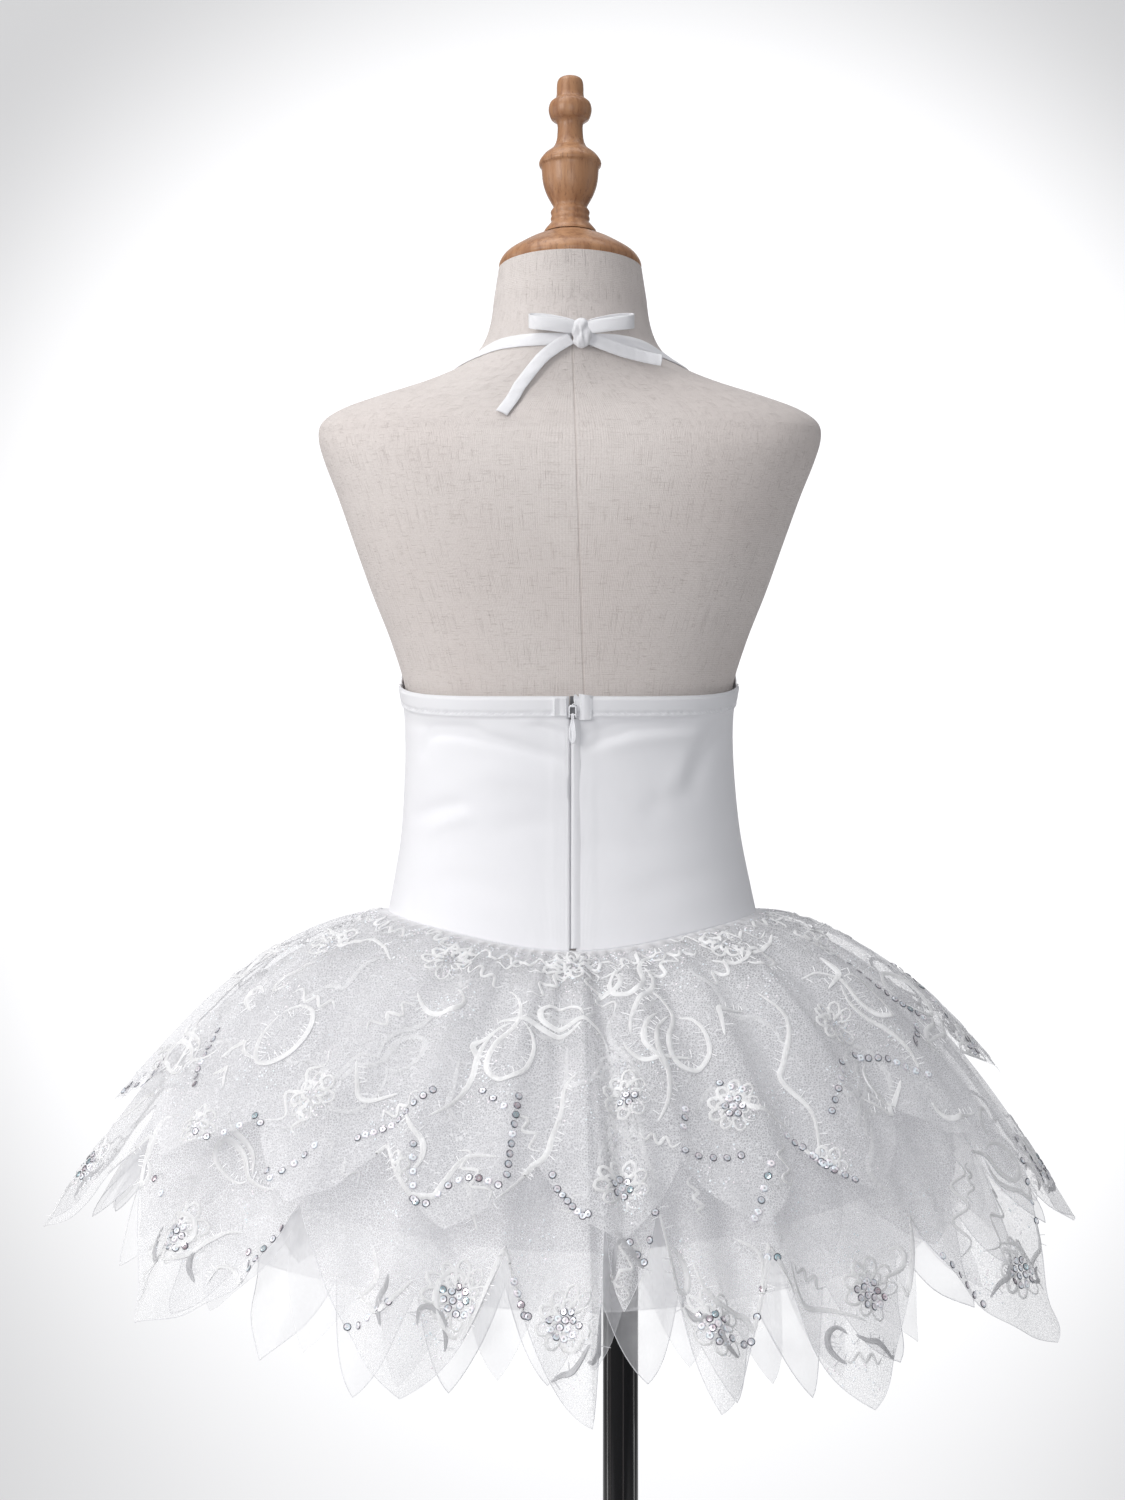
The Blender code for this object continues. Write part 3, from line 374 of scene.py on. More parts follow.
# ---- embroidery ---------------------------------------------------------------------------------
CORD_HALF_WIDTH = 1.95 * MM
CORD_RISE = 1.0 * MM
CORD_AROUND = 5
CORD_LIFT = 0.25 * MM
FINE_CORD = 0.62                 # the width of flower and meander cords as a share of a main cord's
LASH_PITCH = 2.3 * MM
LASH_RADIUS = 0.27 * MM
LASH_GAPS = 0.22                 # the share of thread ends that are left out
LASH_LENGTH = (2.6, 5.4)         # least and greatest, in millimetres
SEQUIN_RADIUS = 2.3 * MM
# a sequin's flange and its cup; columns: flange or not, outer and inner radius, depth, rise; the flange
# takes a darker colour as painted shade and reflection
SEQUIN_RINGS = (
    (1, SEQUIN_RADIUS, 0.76 * SEQUIN_RADIUS, 0.35 * MM, 0.0),
    (0, 0.76 * SEQUIN_RADIUS, 0.30 * SEQUIN_RADIUS, 0.12 * MM, 0.23 * MM),
)
SEQUIN_LIFT = 0.75 * MM
SEQUIN_LEAN = 0.22
SEQUIN_PITCH = 5.0 * MM
# columns: film, colour, roughness, how metallic, its flange's painted shade
SEQUIN_FILMS = (
    ("silver", (0.84, 0.84, 0.86), 0.36, 0.45, "dark"),
    ("white", (0.96, 0.96, 0.97), 0.28, 0.0, "pale"),
    ("sea", (0.62, 0.78, 0.80), 0.22, 0.8, "dark"),
    ("rose", (0.78, 0.66, 0.69), 0.22, 0.8, "dark"),
)
SEQUIN_MIX = (10, 6, 1.2, 0.8)   # how many there are of each film
# painted shade and dark reflection: each flange is darker than its film, a dark outline round the sequin;
# columns: colour, roughness, how metallic
FLANGE_PAINTED_SHADES = {"dark": ((0.12, 0.12, 0.14), 0.30, 0.7), "pale": ((0.62, 0.62, 0.66), 0.30, 0.4)}
BEAD_LIFT = 0.5 * MM
BEADS_ON_FLOWER = 70
BEADS_STREWN = 34
BEAD_PATCH = 18.0                # radius of a strewn patch of beads, in millimetres
WAIST_PATCH = 11.0
WAIST_SHARE = 0.07
SEAM_CLEAR = 0.012               # trim keeps these shares of the profile clear of a seam and an edge
HEM_CLEAR = 0.006
# motifs as routes on the flat net, in millimetres: across to the wearer's right, and down
S_LOOP = ((-12, -44), (-1, -34), (3, -20), (1, -11), (-8, 1), (-11, 14), (-8, 23), (0, 27), (10, 20),
          (14, 5), (12, -7), (6, -14))
S_TAIL = ((-1, -15), (-13, -6), (-18, 8), (-18, 25), (-24, 43), (-33, 55))
HOOK = ((6, -20), (-5, -12), (-10, 0), (-5, 14), (-1, 36))
CURL = ((-6, -8), (3, -10), (8, -4), (5, 5), (-4, 10), (-12, 12))
LONG_CORD = ((10, -25), (2, -17), (0, 0), (-5, 17), (-7, 25), (-18, 41), (-16, 54), (-19, 70), (-32, 80))
EGG = ((-12, -18), (-10, 0), (-2, 12), (6, 8), (13, -6), (12, -22), (4, -32), (-6, -30), (-12, -18))
EGG_TAIL = ((-2, 12), (-12, 13), (-22, 8), (-31, 14), (-36, 24))
SNAKE = ((-4, -46), (8, -22), (-4, 4), (-8, 14), (4, 38), (2, 66))
FORK = ((-14, -16), (-6, -2), (0, 6), (14, 2), (24, -2))
MEANDER = ((-4, -22), (4, -16), (-5, -9), (4, -2), (-4, 5), (6, 12), (0, 20))
ARC = ((-11, -3), (-4, 2), (4, 3), (11, -1))
SWEEP = ((-14, -8), (-7, -3), (1, -1), (7, 5), (12, 13))
ROUTES = {
    "s_loop": (S_LOOP, S_TAIL), "hook": (HOOK,), "curl": (CURL,), "long_cord": (LONG_CORD,),
    "egg": (EGG, EGG_TAIL), "snake": (SNAKE,), "fork": (FORK,), "meander": (MEANDER,), "arc": (ARC,),
    "sweep": (SWEEP,),
}
# columns: motif, angle in degrees, share of the profile, turn in degrees, size
UPPER_MOTIFS = (
    ("s_loop", 78.0, .45, 0, 1.0), ("s_loop", 111.5, .42, -8, 0.95), ("hook", 107.0, .44, -6, 1.0),
    ("egg", 36.0, .62, 8, 1.0), ("curl", 25.0, .40, 160, 1.1), ("long_cord", 88.0, .66, 0, 1.0),
    ("snake", 130.0, .56, 10, 1.0), ("fork", 55.5, .66, 0, 1.0), ("curl", 99.5, .20, 10, 0.9),
    ("meander", 84.0, .20, 40, 0.9), ("meander", 96.0, .24, -25, 1.0), ("meander", 113.5, .17, 60, 0.9),
    ("meander", 44.0, .70, 25, 1.3), ("meander", 128.5, .22, 80, 1.0), ("hook", 66.0, .80, 150, 0.8),
    ("s_loop", 152.0, .48, -30, 0.9), ("egg", 168.0, .62, -20, 0.9), ("snake", 12.0, .56, -16, 0.9),
    ("fork", 143.0, .80, -20, 0.9), ("long_cord", 176.0, .60, -30, 0.8), ("curl", 62.0, .34, 60, 1.2),
    ("meander", 121.0, .88, 10, 1.0), ("meander", 76.0, .86, -30, 0.9), ("s_loop", 3.0, .40, 24, 0.9),
)
LOWER_MOTIFS = (
    ("s_loop", 52.0, .42, 20, 1.0), ("hook", 101.0, .30, -20, 1.0), ("fork", 90.0, .34, 30, 1.1),
    ("meander", 16.0, .86, -40, 1.2), ("meander", 28.0, .90, -20, 1.1), ("curl", 19.0, .78, 30, 1.2),
    ("snake", 117.0, .76, -20, 0.7), ("hook", 124.5, .78, -50, 1.0), ("curl", 104.5, .79, 0, 1.2),
    ("meander", 150.5, .72, 30, 1.4), ("meander", 156.0, .76, 60, 1.4), ("fork", 64.0, .84, -30, 1.1),
    ("meander", 80.0, .84, 30, 1.3), ("egg", 147.0, .46, -10, 0.9), ("s_loop", 165.0, .70, -50, 0.8),
    ("hook", 8.0, .68, 40, 0.9), ("curl", 41.0, .88, -60, 1.3), ("snake", 178.0, .76, 30, 0.7),
    ("meander", 97.0, .90, 20, 1.2), ("fork", 139.0, .86, 20, 1.0),
)
# motifs strewn between the placed ones: layer, how many, and the shares of the profile they lie in
STREWN = {"overlay_upper": (46, 0.14, 0.90), "overlay_lower": (92, 0.10, 0.93)}
TIP_KINDS = ("arc", "sweep", "sweep", "curl")
STREWN_KINDS = ("s_loop", "hook", "curl", "egg", "snake", "fork", "meander", "meander", "curl")
STREWN_APART = 0.050             # metres between two strewn motifs
WAIST_STEP = 11.0                # degrees between the close motifs along the waist seam
TIP_ASIDE = 0.22                 # how far aside of a petal's tip its cords, painted grey as shade, lie, as a share of its half
# columns: angle, share, radius in millimetres, petals, sequins
UPPER_FLOWERS = (
    (55.5, .15, 17, 9, 0), (90.5, .10, 18, 10, 0), (136.0, .12, 17, 9, 0), (48.0, .72, 16, 8, 0),
    (99.0, .605, 15, 8, 4), (116.5, .675, 15, 9, 7), (143.5, .515, 15, 9, 0), (97.0, .86, 15, 9, 7),
    (64.0, .88, 14, 8, 0), (128.0, .90, 14, 8, 7), (160.0, .25, 16, 9, 0), (22.0, .22, 16, 9, 0),
    (10.0, .80, 15, 9, 7), (172.0, .84, 15, 9, 7), (33.0, .90, 13, 8, 0),
)
LOWER_FLOWERS = (
    (32.5, .82, 19, 9, 13), (74.5, .795, 20, 10, 13), (89.0, .805, 18, 9, 13), (133.0, .80, 18, 9, 13),
    (5.0, .84, 18, 9, 13), (109.0, .84, 18, 9, 13), (155.5, .86, 18, 9, 13), (185.0, .85, 18, 9, 13),
    (44.5, .49, 16, 9, 0), (99.5, .39, 15, 8, 0), (119.0, .435, 15, 9, 0), (97.5, .595, 15, 9, 0),
)
# rows of sequins; columns: first angle and share, last angle and share, how many, sag in shares
UPPER_STRINGS = (
    (57.5, .795, 67.0, .635, 10, .02), (41.0, .87, 33.5, .915, 6, .02), (52.0, .845, 46.5, .985, 6, .0),
    (66.5, .795, 68.5, .97, 6, .0), (68.5, .97, 79.5, .875, 9, -.05), (81.0, .625, 80.5, .845, 9, .0),
    (87.0, .835, 92.0, .935, 8, .06), (107.0, .775, 115.5, .81, 5, .01),
    (119.0, .855, 115.0, .99, 6, .0), (124.0, .78, 131.0, .99, 8, -.01),
    (138.5, .64, 132.0, .76, 6, .0), (143.5, .625, 152.5, .79, 9, -.02),
    (161.0, .37, 165.5, .66, 10, .02), (163.0, .655, 154.0, .70, 7, .0), (1.5, .96, 12.0, .865, 8, .0),
    (75.0, .615, 79.0, .66, 3, .0), (115.5, .60, 118.5, .64, 3, .0), (20.0, .64, 26.0, .80, 8, .01),
    (178.0, .50, 172.0, .72, 9, .0), (108.5, .66, 107.5, .71, 3, .0),
)
LOWER_STRINGS = (
    (22.0, .76, 24.0, .775, 2, .0), (42.0, .80, 48.0, .90, 7, .01), (113.0, .86, 119.0, .80, 6, .02),
    (145.0, .78, 149.0, .88, 6, .0), (60.0, .90, 66.0, .84, 5, .0), (166.0, .86, 172.0, .78, 6, .01),
    (82.0, .88, 84.0, .80, 5, .0), (98.0, .84, 102.0, .90, 5, .0),
)

# ---- view, light and room -----------------------------------------------------------------------
CAMERA_AT = (0.006, 1.9, 0.708)
LENS = 73.5
ROOM_HALF_WIDTH = 4.0
FLOOR_FRONT = 3.4
FLOOR_ROWS = 4
SWEEP_START = -0.75
SWEEP_RADIUS = 1.1
SWEEP_ROWS = 24
WALL_TOP = 3.6
# the paper's glow, a painted pool of light, falls off from the inner to the outer distance, and once more
# to the sides
POOL_CENTRE = (-0.06, 0.0, 0.80)
POOL_INNER = 0.64
POOL_OUTER = 1.06
POOL_HIGH = 0.90
POOL_LOW = 0.43
SIDE_INNER = 0.72
SIDE_OUTER = 1.20
SIDE_LOW = 0.12
POOL_FRONT = (0.6, 0.9)          # where the lit paper ends in front of the object
PALE_FLOOR = (-0.9, -0.5)        # from here forward the floor looks pale, though it sheds less light
WORLD_LIGHT = 0.35               # the room's even light
WORLD_SEEN = 0.80                # how pale the room looks beyond the paper
# columns: name, place, target, width and height in metres, power in watts, colour
LAMPS = (
    ("key", (1.85, 1.65, 1.5), (0.0, 0.0, 0.70), 0.9, 1.3, 29.0, (1.0, 0.985, 0.97)),
    ("fill", (-0.1, 2.6, 1.1), (0.0, 0.0, 0.70), 1.2, 1.2, 13.5, (0.95, 0.97, 1.0)),
    ("top", (0.75, 0.45, 2.5), (0.0, 0.0, 0.60), 1.4, 1.4, 15.0, (1.0, 1.0, 1.0)),
    ("left_edge", (2.2, -0.1, 0.95), (0.0, 0.0, 0.65), 0.7, 1.2, 6.0, (1.0, 0.99, 0.98)),
    ("right_edge", (-2.1, 0.1, 0.95), (0.0, 0.0, 0.65), 0.6, 1.0, 1.6, (0.97, 0.98, 1.0)),
    ("strip_left", (1.45, -0.07, 0.01), (1.45, -0.07, 1.0), 1.1, 0.12, 1.7, (1.0, 1.0, 1.0)),
    ("strip_right", (-1.45, -0.18, 0.01), (-1.45, -0.18, 1.0), 1.1, 0.14, 1.7, (1.0, 1.0, 1.0)),
    ("paper", (0.0, -0.2, 2.6), (0.0, -1.8, 0.9), 2.4, 0.6, 12.0, (1.0, 1.0, 1.0)),
)


# ---- tools --------------------------------------------------------------------------------------
def new_mesh():
    mesh_data = bmesh.new()
    mesh_data.loops.layers.uv.new("UVMap")
    return mesh_data


def add_grid(mesh_data, place, columns, rows, wrap=False):
    """Adds a flat grid with its own UV map, bent so that place(column, row) gives each point."""
    made = bmesh.ops.create_grid(mesh_data, x_segments=columns, y_segments=rows, size=1.0,
                                 calc_uvs=True)["verts"]
    for index, vert in enumerate(made):
        row, column = divmod(index, columns + 1)
        vert.co = place(column % columns if wrap else column, row)
    if wrap:
        bmesh.ops.remove_doubles(mesh_data, verts=made, dist=WELD)


def bent_grid(place, columns, rows, wrap=False):
    mesh_data = new_mesh()
    add_grid(mesh_data, place, columns, rows, wrap)
    mesh_data.normal_update()
    return mesh_data


class Pile:
    """Gathers many small shapes in meshes of a modest size, because adding to a large one is slow."""

    def __init__(self):
        self.meshes = [new_mesh()]

    def current(self):
        if len(self.meshes[-1].verts) > PILE_VERTS:
            self.meshes.append(new_mesh())
        return self.meshes[-1]

    def joined(self):
        whole = new_mesh()
        for part in self.meshes:
            loose = bpy.data.meshes.new("loose")
            part.to_mesh(loose)
            part.free()
            whole.from_mesh(loose)
            bpy.data.meshes.remove(loose)
        whole.normal_update()
        return whole


def oval_point(centre, ahead, normal, share, half_width, rise):
    """A point of an oval section round a centre; share runs from 0 to 1 round it."""
    across = normal.cross(ahead).normalized()
    turn = -2.0 * math.pi * share
    return centre + across * (half_width * math.cos(turn)) + normal * (rise * math.sin(turn))


def add_cord(pile, points, normals, half_width, rise):
    """Adds a cord with an oval section that lies along the points and thins out at both ends."""
    last = len(points) - 1

    def place(column, row):
        ahead = (points[min(row + 1, last)] - points[max(row - 1, 0)]).normalized()
        full = min(1.0, 2.5 * row / last, 2.5 * (last - row) / last) ** 0.5
        return oval_point(points[row], ahead, normals[row], column / CORD_AROUND,
                          half_width * full, rise * full)

    add_grid(pile.current(), place, CORD_AROUND, last, wrap=True)


def add_stitch(pile, start, end, radius, sides=5):
    """Adds one straight thread between two points."""
    run = end - start
    seat = Matrix.Translation((start + end) / 2.0) @ run.to_track_quat("Z", "Y").to_matrix().to_4x4()
    bmesh.ops.create_cone(pile.current(), cap_ends=True, segments=sides, radius1=radius,
                          radius2=radius * 0.8, depth=run.length, matrix=seat)


def piece_of(name, mesh_data, materials, sharp_degrees=50.0):
    """Makes the object and gives it its materials."""
    mesh = bpy.data.meshes.new(name)
    mesh_data.to_mesh(mesh)
    mesh_data.free()
    mesh.shade_smooth()
    mesh.set_sharp_from_angle(angle=math.radians(sharp_degrees))
    for material in materials:
        mesh.materials.append(material)
    piece = bpy.data.objects.new(name, mesh)
    bpy.context.scene.collection.objects.link(piece)
    return piece


def dress(piece, slot, *nodes, body=GARMENT):
    """Puts the piece on its body, in the place of the part's plain nodes."""
    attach(piece, body)
    if nodes:
        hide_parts(*nodes)


def give_wall(piece, thickness):
    wall = piece.modifiers.new("wall", "SOLIDIFY")
    wall.thickness = thickness
    wall.offset = -1.0
    wall.use_even_offset = True
    return piece


def hermite(before, start, end, after, positions, where):
    """Cubic through start and end at their positions, with slopes from the neighbours."""
    p0, p1, p2, p3 = positions
    slope_1 = (end - before) / (p2 - p0)
    slope_2 = (after - start) / (p3 - p1)
    span = p2 - p1
    t = (where - p1) / span
    return ((2 * t**3 - 3 * t**2 + 1) * start + (t**3 - 2 * t**2 + t) * span * slope_1
            + (3 * t**2 - 2 * t**3) * end + (t**3 - t**2) * span * slope_2)


def read_row(rows, where):
    """Reads a table smoothly: the first column is the position, the rest are returned."""
    last = len(rows) - 1
    where = min(max(where, rows[0][0]), rows[last][0])
    index = next(i for i in range(last) if where <= rows[i + 1][0])
    around = [rows[min(max(index + step, 0), last)] for step in (-1, 0, 1, 2)]
    positions = [row[0] for row in around]
    if index == 0:
        positions[0] = 2 * positions[1] - positions[2]
    if index == last - 1:
        positions[3] = 2 * positions[2] - positions[1]
    return [hermite(*[row[k] for row in around], positions, where) for k in range(1, len(rows[0]))]


def read_round(rows, angle):
    """Reads a table of angle, reach and height smoothly round the full turn."""
    turns = [(row[0] + 360.0 * lap, *row[1:]) for lap in (-1, 0, 1) for row in rows]
    return read_row(turns, angle % 360.0)


def smooth_route(points, steps):
    """Evenly stepped points on a smooth curve through the given ones."""
    rows = [(float(index), *point) for index, point in enumerate(points)]
    return [Vector(read_row(rows, (len(points) - 1) * step / steps)) for step in range(steps + 1)]


def soft_step(value, low, high):
    """Runs smoothly from 0 at low to 1 at high."""
    share = min(max((value - low) / (high - low), 0.0), 1.0)
    return share * share * (3.0 - 2.0 * share)


# ---- material tools -----------------------------------------------------------------------------
def new_finish(name, colour, roughness, metallic=0.0, specular=0.5, sheen=0.0, coat=0.0,
               coat_roughness=0.03):
    material = bpy.data.materials.new(name)
    material.use_nodes = True
    shader = material.node_tree.nodes["Principled BSDF"]
    looks = {"Base Color": (*colour, 1.0), "Roughness": roughness, "Metallic": metallic,
             "Specular IOR Level": specular, "Sheen Weight": sheen, "Coat Weight": coat,
             "Coat Roughness": coat_roughness}
    for socket, value in looks.items():
        shader.inputs[socket].default_value = value
    return material, material.node_tree, shader


def feed(tree, socket, value):
    if isinstance(value, bpy.types.NodeSocket):
        tree.links.new(value, socket)
    else:
        socket.default_value = value


def add(tree, kind, inputs=(), **settings):
    node = tree.nodes.new("ShaderNode" + kind)
    for key, value in settings.items():
        setattr(node, key, value)
    for key, value in dict(inputs).items():
        feed(tree, node.inputs[key], value)
    return node


def maths(tree, operation, first, second=0.0, third=0.0):
    return add(tree, "Math", {0: first, 1: second, 2: third}, operation=operation).outputs[0]


def spread(tree, value, low, high, out_low=0.0, out_high=1.0):
    """Maps a value softly from one range to another."""
    inputs = {"Value": value, "From Min": low, "From Max": high, "To Min": out_low, "To Max": out_high}
    return add(tree, "MapRange", inputs, interpolation_type="SMOOTHSTEP").outputs[0]


def blend_colours(tree, share, low, high):
    node = add(tree, "Mix", {0: share}, data_type="RGBA")
    feed(tree, node.inputs[6], (*low, 1.0) if isinstance(low, tuple) else low)
    feed(tree, node.inputs[7], (*high, 1.0) if isinstance(high, tuple) else high)
    return node.outputs[2]


def stretched(tree, coordinates, scale):
    """Coordinates scaled along each axis."""
    return add(tree, "Mapping", {"Vector": coordinates, "Scale": scale}).outputs[0]


def noise_on(tree, coordinates, scale, detail=2.0, roughness=0.5):
    inputs = {"Vector": coordinates, "Scale": scale, "Detail": detail, "Roughness": roughness}
    return add(tree, "TexNoise", inputs).outputs[0]


def bands_on(tree, coordinates, direction, scale, distortion):
    inputs = {"Vector": coordinates, "Scale": scale, "Distortion": distortion, "Detail": 2.0}
    return add(tree, "TexWave", inputs, bands_direction=direction).outputs[1]


def raise_by(tree, shader, height, distance):
    node = add(tree, "Bump", {"Height": height, "Distance": distance})
    tree.links.new(node.outputs[0], shader.inputs["Normal"])


def paint(tree, shader, share, low, high):
    """Blends the finish's colour from low to high."""
    tree.links.new(blend_colours(tree, share, low, high), shader.inputs["Base Color"])


def polish(tree, shader, value, smooth, rough, low=0.3, high=0.7):
    """Lets the roughness rise from smooth to rough as the value rises from low to high."""
    tree.links.new(spread(tree, value, low, high, smooth, rough), shader.inputs["Roughness"])


def object_place(tree):
    return add(tree, "TexCoord").outputs["Object"]


def own_map(tree):
    return add(tree, "TexCoord").outputs["UV"]


# ---- materials ----------------------------------------------------------------------------------
def make_linen():
    """Undyed linen: warp and weft with slubs, and the back seam as a fine pressed line."""
    material, tree, shader = new_finish("linen_cover", (0.60, 0.53, 0.50), 0.92, sheen=0.15)
    flat = own_map(tree)
    warp = bands_on(tree, flat, "X", 260.0, 1.2)
    weft = bands_on(tree, flat, "Y", 210.0, 1.2)
    across = noise_on(tree, stretched(tree, flat, (80.0, 950.0, 1.0)), 1.0, 2.0, 0.6)
    down = noise_on(tree, stretched(tree, flat, (1500.0, 36.0, 1.0)), 1.0, 2.0, 0.6)
    grit = noise_on(tree, stretched(tree, flat, (1150.0, 520.0, 1.0)), 1.0, 1.0)
    soft = noise_on(tree, object_place(tree), 9.0, 2.0)
    slubs = maths(tree, "ADD", spread(tree, across, 0.57, 0.74), spread(tree, down, 0.55, 0.76))
    pale = blend_colours(tree, spread(tree, soft, 0.3, 0.7), (0.662, 0.605, 0.579), (0.696, 0.645, 0.619))
    pale = blend_colours(tree, spread(tree, grit, 0.36, 0.66, 0.0, 0.22), pale, (0.50, 0.435, 0.405))
    woven = blend_colours(tree, maths(tree, "MULTIPLY", slubs, 0.40), pale, (0.46, 0.39, 0.36))
    split = add(tree, "SeparateXYZ", {0: object_place(tree)})
    lean = maths(tree, "MULTIPLY", maths(tree, "SUBTRACT", SEAM_TOP, split.outputs[2]), SEAM_LEAN)
    aside = maths(tree, "ABSOLUTE", maths(tree, "SUBTRACT", split.outputs[0], lean))
    behind = maths(tree, "MULTIPLY", spread(tree, split.outputs[1], 0.0, 0.01),
                   spread(tree, split.outputs[2], SEAM_TOP + 0.009, SEAM_TOP - 0.003))
    line = maths(tree, "MULTIPLY", spread(tree, aside, 0.0009, 0.0002), behind)
    paint(tree, shader, maths(tree, "MULTIPLY", line, 0.34), woven, (0.42, 0.35, 0.32))
    threads = maths(tree, "ADD", maths(tree, "ADD", warp, weft), maths(tree, "MULTIPLY", slubs, 2.2))
    raise_by(tree, shader, maths(tree, "SUBTRACT", threads, maths(tree, "MULTIPLY", line, 3.0)), 0.00006)
    return material


def make_wood():
    """Varnished turned beech, with long grain and fine tool rings."""
    material, tree, shader = new_finish("turned_wood", (0.36, 0.19, 0.11), 0.42, specular=0.30, coat=0.24,
                                        coat_roughness=0.26)
    place = object_place(tree)
    grain = noise_on(tree, stretched(tree, place, (260.0, 260.0, 22.0)), 1.0, 4.0, 0.6)
    broad = noise_on(tree, stretched(tree, place, (60.0, 60.0, 9.0)), 1.0, 2.0)
    pores = noise_on(tree, stretched(tree, place, (900.0, 900.0, 90.0)), 1.0, 2.0)
    ground = blend_colours(tree, spread(tree, broad, 0.22, 0.78), (0.350, 0.174, 0.087),
                           (0.478, 0.256, 0.133))
    figured = blend_colours(tree, spread(tree, grain, 0.42, 0.70, 0.0, 0.70), ground,
                            (0.240, 0.105, 0.050))
    paint(tree, shader, spread(tree, pores, 0.58, 0.72, 0.0, 0.5), figured, (0.15, 0.07, 0.04))
    polish(tree, shader, grain, 0.36, 0.46)
    raise_by(tree, shader, maths(tree, "ADD", grain, pores), 0.00006)
    return material


def make_black_metal():
    """Gloss black enamel over drawn tube, with faint straight lines that are rougher and painted a little
    lighter as highlight lines.
    """
    material, tree, shader = new_finish("black_enamel", (0.003, 0.003, 0.004), 0.12)
    place = object_place(tree)
    lines_and_highlights = noise_on(tree, stretched(tree, place, (520.0, 520.0, 0.4)), 1.0, 1.0)
    soft = noise_on(tree, stretched(tree, place, (900.0, 900.0, 6.0)), 1.0, 2.0)
    polish(tree, shader, lines_and_highlights, 0.06, 0.34, 0.52, 0.66)
    # painted highlight: the lines are a little lighter than the black
    paint(tree, shader, spread(tree, lines_and_highlights, 0.56, 0.66), (0.003, 0.003, 0.004), (0.030, 0.024, 0.024))
    raise_by(tree, shader, soft, 0.00004)
    return material


def make_satin():
    """White stretch satin with a fine knitted rib."""
    material, tree, shader = new_finish("stretch_satin", (0.86, 0.86, 0.885), 0.66, specular=0.35,
                                        sheen=0.05)
    flat = own_map(tree)
    ribs = bands_on(tree, flat, "X", 90.0, 0.6)
    rows = bands_on(tree, flat, "Y", 120.0, 0.8)
    soft = noise_on(tree, object_place(tree), 16.0, 2.0)
    paint(tree, shader, soft, (0.845, 0.843, 0.870), (0.875, 0.873, 0.895))
    polish(tree, shader, soft, 0.60, 0.74)
    raise_by(tree, shader, maths(tree, "ADD", ribs, rows), 0.00004)
    return material


def make_thread():
    """White polyester sewing and embroidery thread."""
    material, tree, shader = new_finish("white_thread", (0.93, 0.93, 0.95), 0.34, sheen=0.3)
    twist = noise_on(tree, object_place(tree), 1800.0, 1.0)
    polish(tree, shader, twist, 0.26, 0.45)
    raise_by(tree, shader, twist, 0.00008)
    return material


def make_cut_edge():
    """The heat-sealed edge of organza and net: a fine, slightly grey bead."""
    material, tree, shader = new_finish("sealed_edge", (0.76, 0.76, 0.78), 0.35)
    melt = noise_on(tree, object_place(tree), 500.0, 1.0)
    paint(tree, shader, melt, (0.66, 0.66, 0.68), (0.90, 0.90, 0.92))
    return material


def make_cord(name, low, high):
    """Satin-stitched cord: fine threads lie across it."""
    material, tree, shader = new_finish(name, low, 0.36, sheen=0.3)
    flat = own_map(tree)
    stitches = noise_on(tree, stretched(tree, flat, (420.0, 2.0, 1.0)), 1.0, 1.0)
    paint(tree, shader, spread(tree, stitches, 0.3, 0.7), low, high)
    raise_by(tree, shader, stitches, 0.00025)
    return material


def sheer_finish(name, colour, cover, mesh, rim_cover, translucent=0.22, roughness=0.6, grain=0.0,
                 loose=0.4):
    """A see-through cloth. cover is what its plain parts hide; mesh is (pitch, strand width, what a
    strand hides) or None; rim_cover is what the cut edge hides; grain adds small bright specks; loose is
    how uneven the cells are."""
    material, tree, shader = new_finish(name, colour, roughness, sheen=0.25)
    place = object_place(tree)
    hides = spread(tree, noise_on(tree, place, 38.0, 3.0), 0.3, 0.7, cover * 0.8, cover * 1.2)
    if mesh:
        pitch, strand, strand_cover = mesh
        cells = add(tree, "TexVoronoi", {"Vector": place, "Scale": 1.0 / pitch, "Randomness": loose},
                    feature="DISTANCE_TO_EDGE").outputs["Distance"]
        strands = spread(tree, cells, strand / pitch, 0.35 * strand / pitch, 0.0, strand_cover)
        hides = maths(tree, "MAXIMUM", hides, strands)
        raise_by(tree, shader, strands, 0.0002)
    if grain:
        specks = noise_on(tree, stretched(tree, place, (700.0, 700.0, 420.0)), 1.0, 2.0, 0.7)
        hides = maths(tree, "MAXIMUM", hides, spread(tree, specks, 0.60, 0.72, 0.0, grain))
    low_edge = add(tree, "SeparateXYZ", {0: own_map(tree)}).outputs[1]
    hides = maths(tree, "MAXIMUM", hides, spread(tree, low_edge, 0.9935, 0.9985, 0.0, rim_cover))
    hides = maths(tree, "MAXIMUM", hides, spread(tree, low_edge, SEAM_DENSE, 0.0, 0.0, 0.95))
    glow = add(tree, "BsdfTranslucent", {"Color": (*colour, 1.0)})
    body = add(tree, "MixShader", {0: translucent, 1: shader.outputs[0], 2: glow.outputs[0]})
    clear = add(tree, "BsdfTransparent")
    surface = add(tree, "MixShader", {0: hides, 1: clear.outputs[0], 2: body.outputs[0]})
    tree.links.new(surface.outputs[0], tree.nodes["Material Output"].inputs["Surface"])
    return material


def make_sequin(name, colour, roughness, metallic):
    """Pressed film, with a faint change of colour over each cup."""
    material, tree, shader = new_finish(name, colour, roughness, metallic, coat=0.8, coat_roughness=0.05)
    shimmer = noise_on(tree, object_place(tree), 420.0, 1.0)
    cool = tuple(min(1.0, part * gain) for part, gain in zip(colour, (0.92, 1.0, 1.05)))
    warm = tuple(min(1.0, part * gain) for part, gain in zip(colour, (1.05, 0.97, 1.0)))
    paint(tree, shader, spread(tree, shimmer, 0.35, 0.65), cool, warm)
    return material


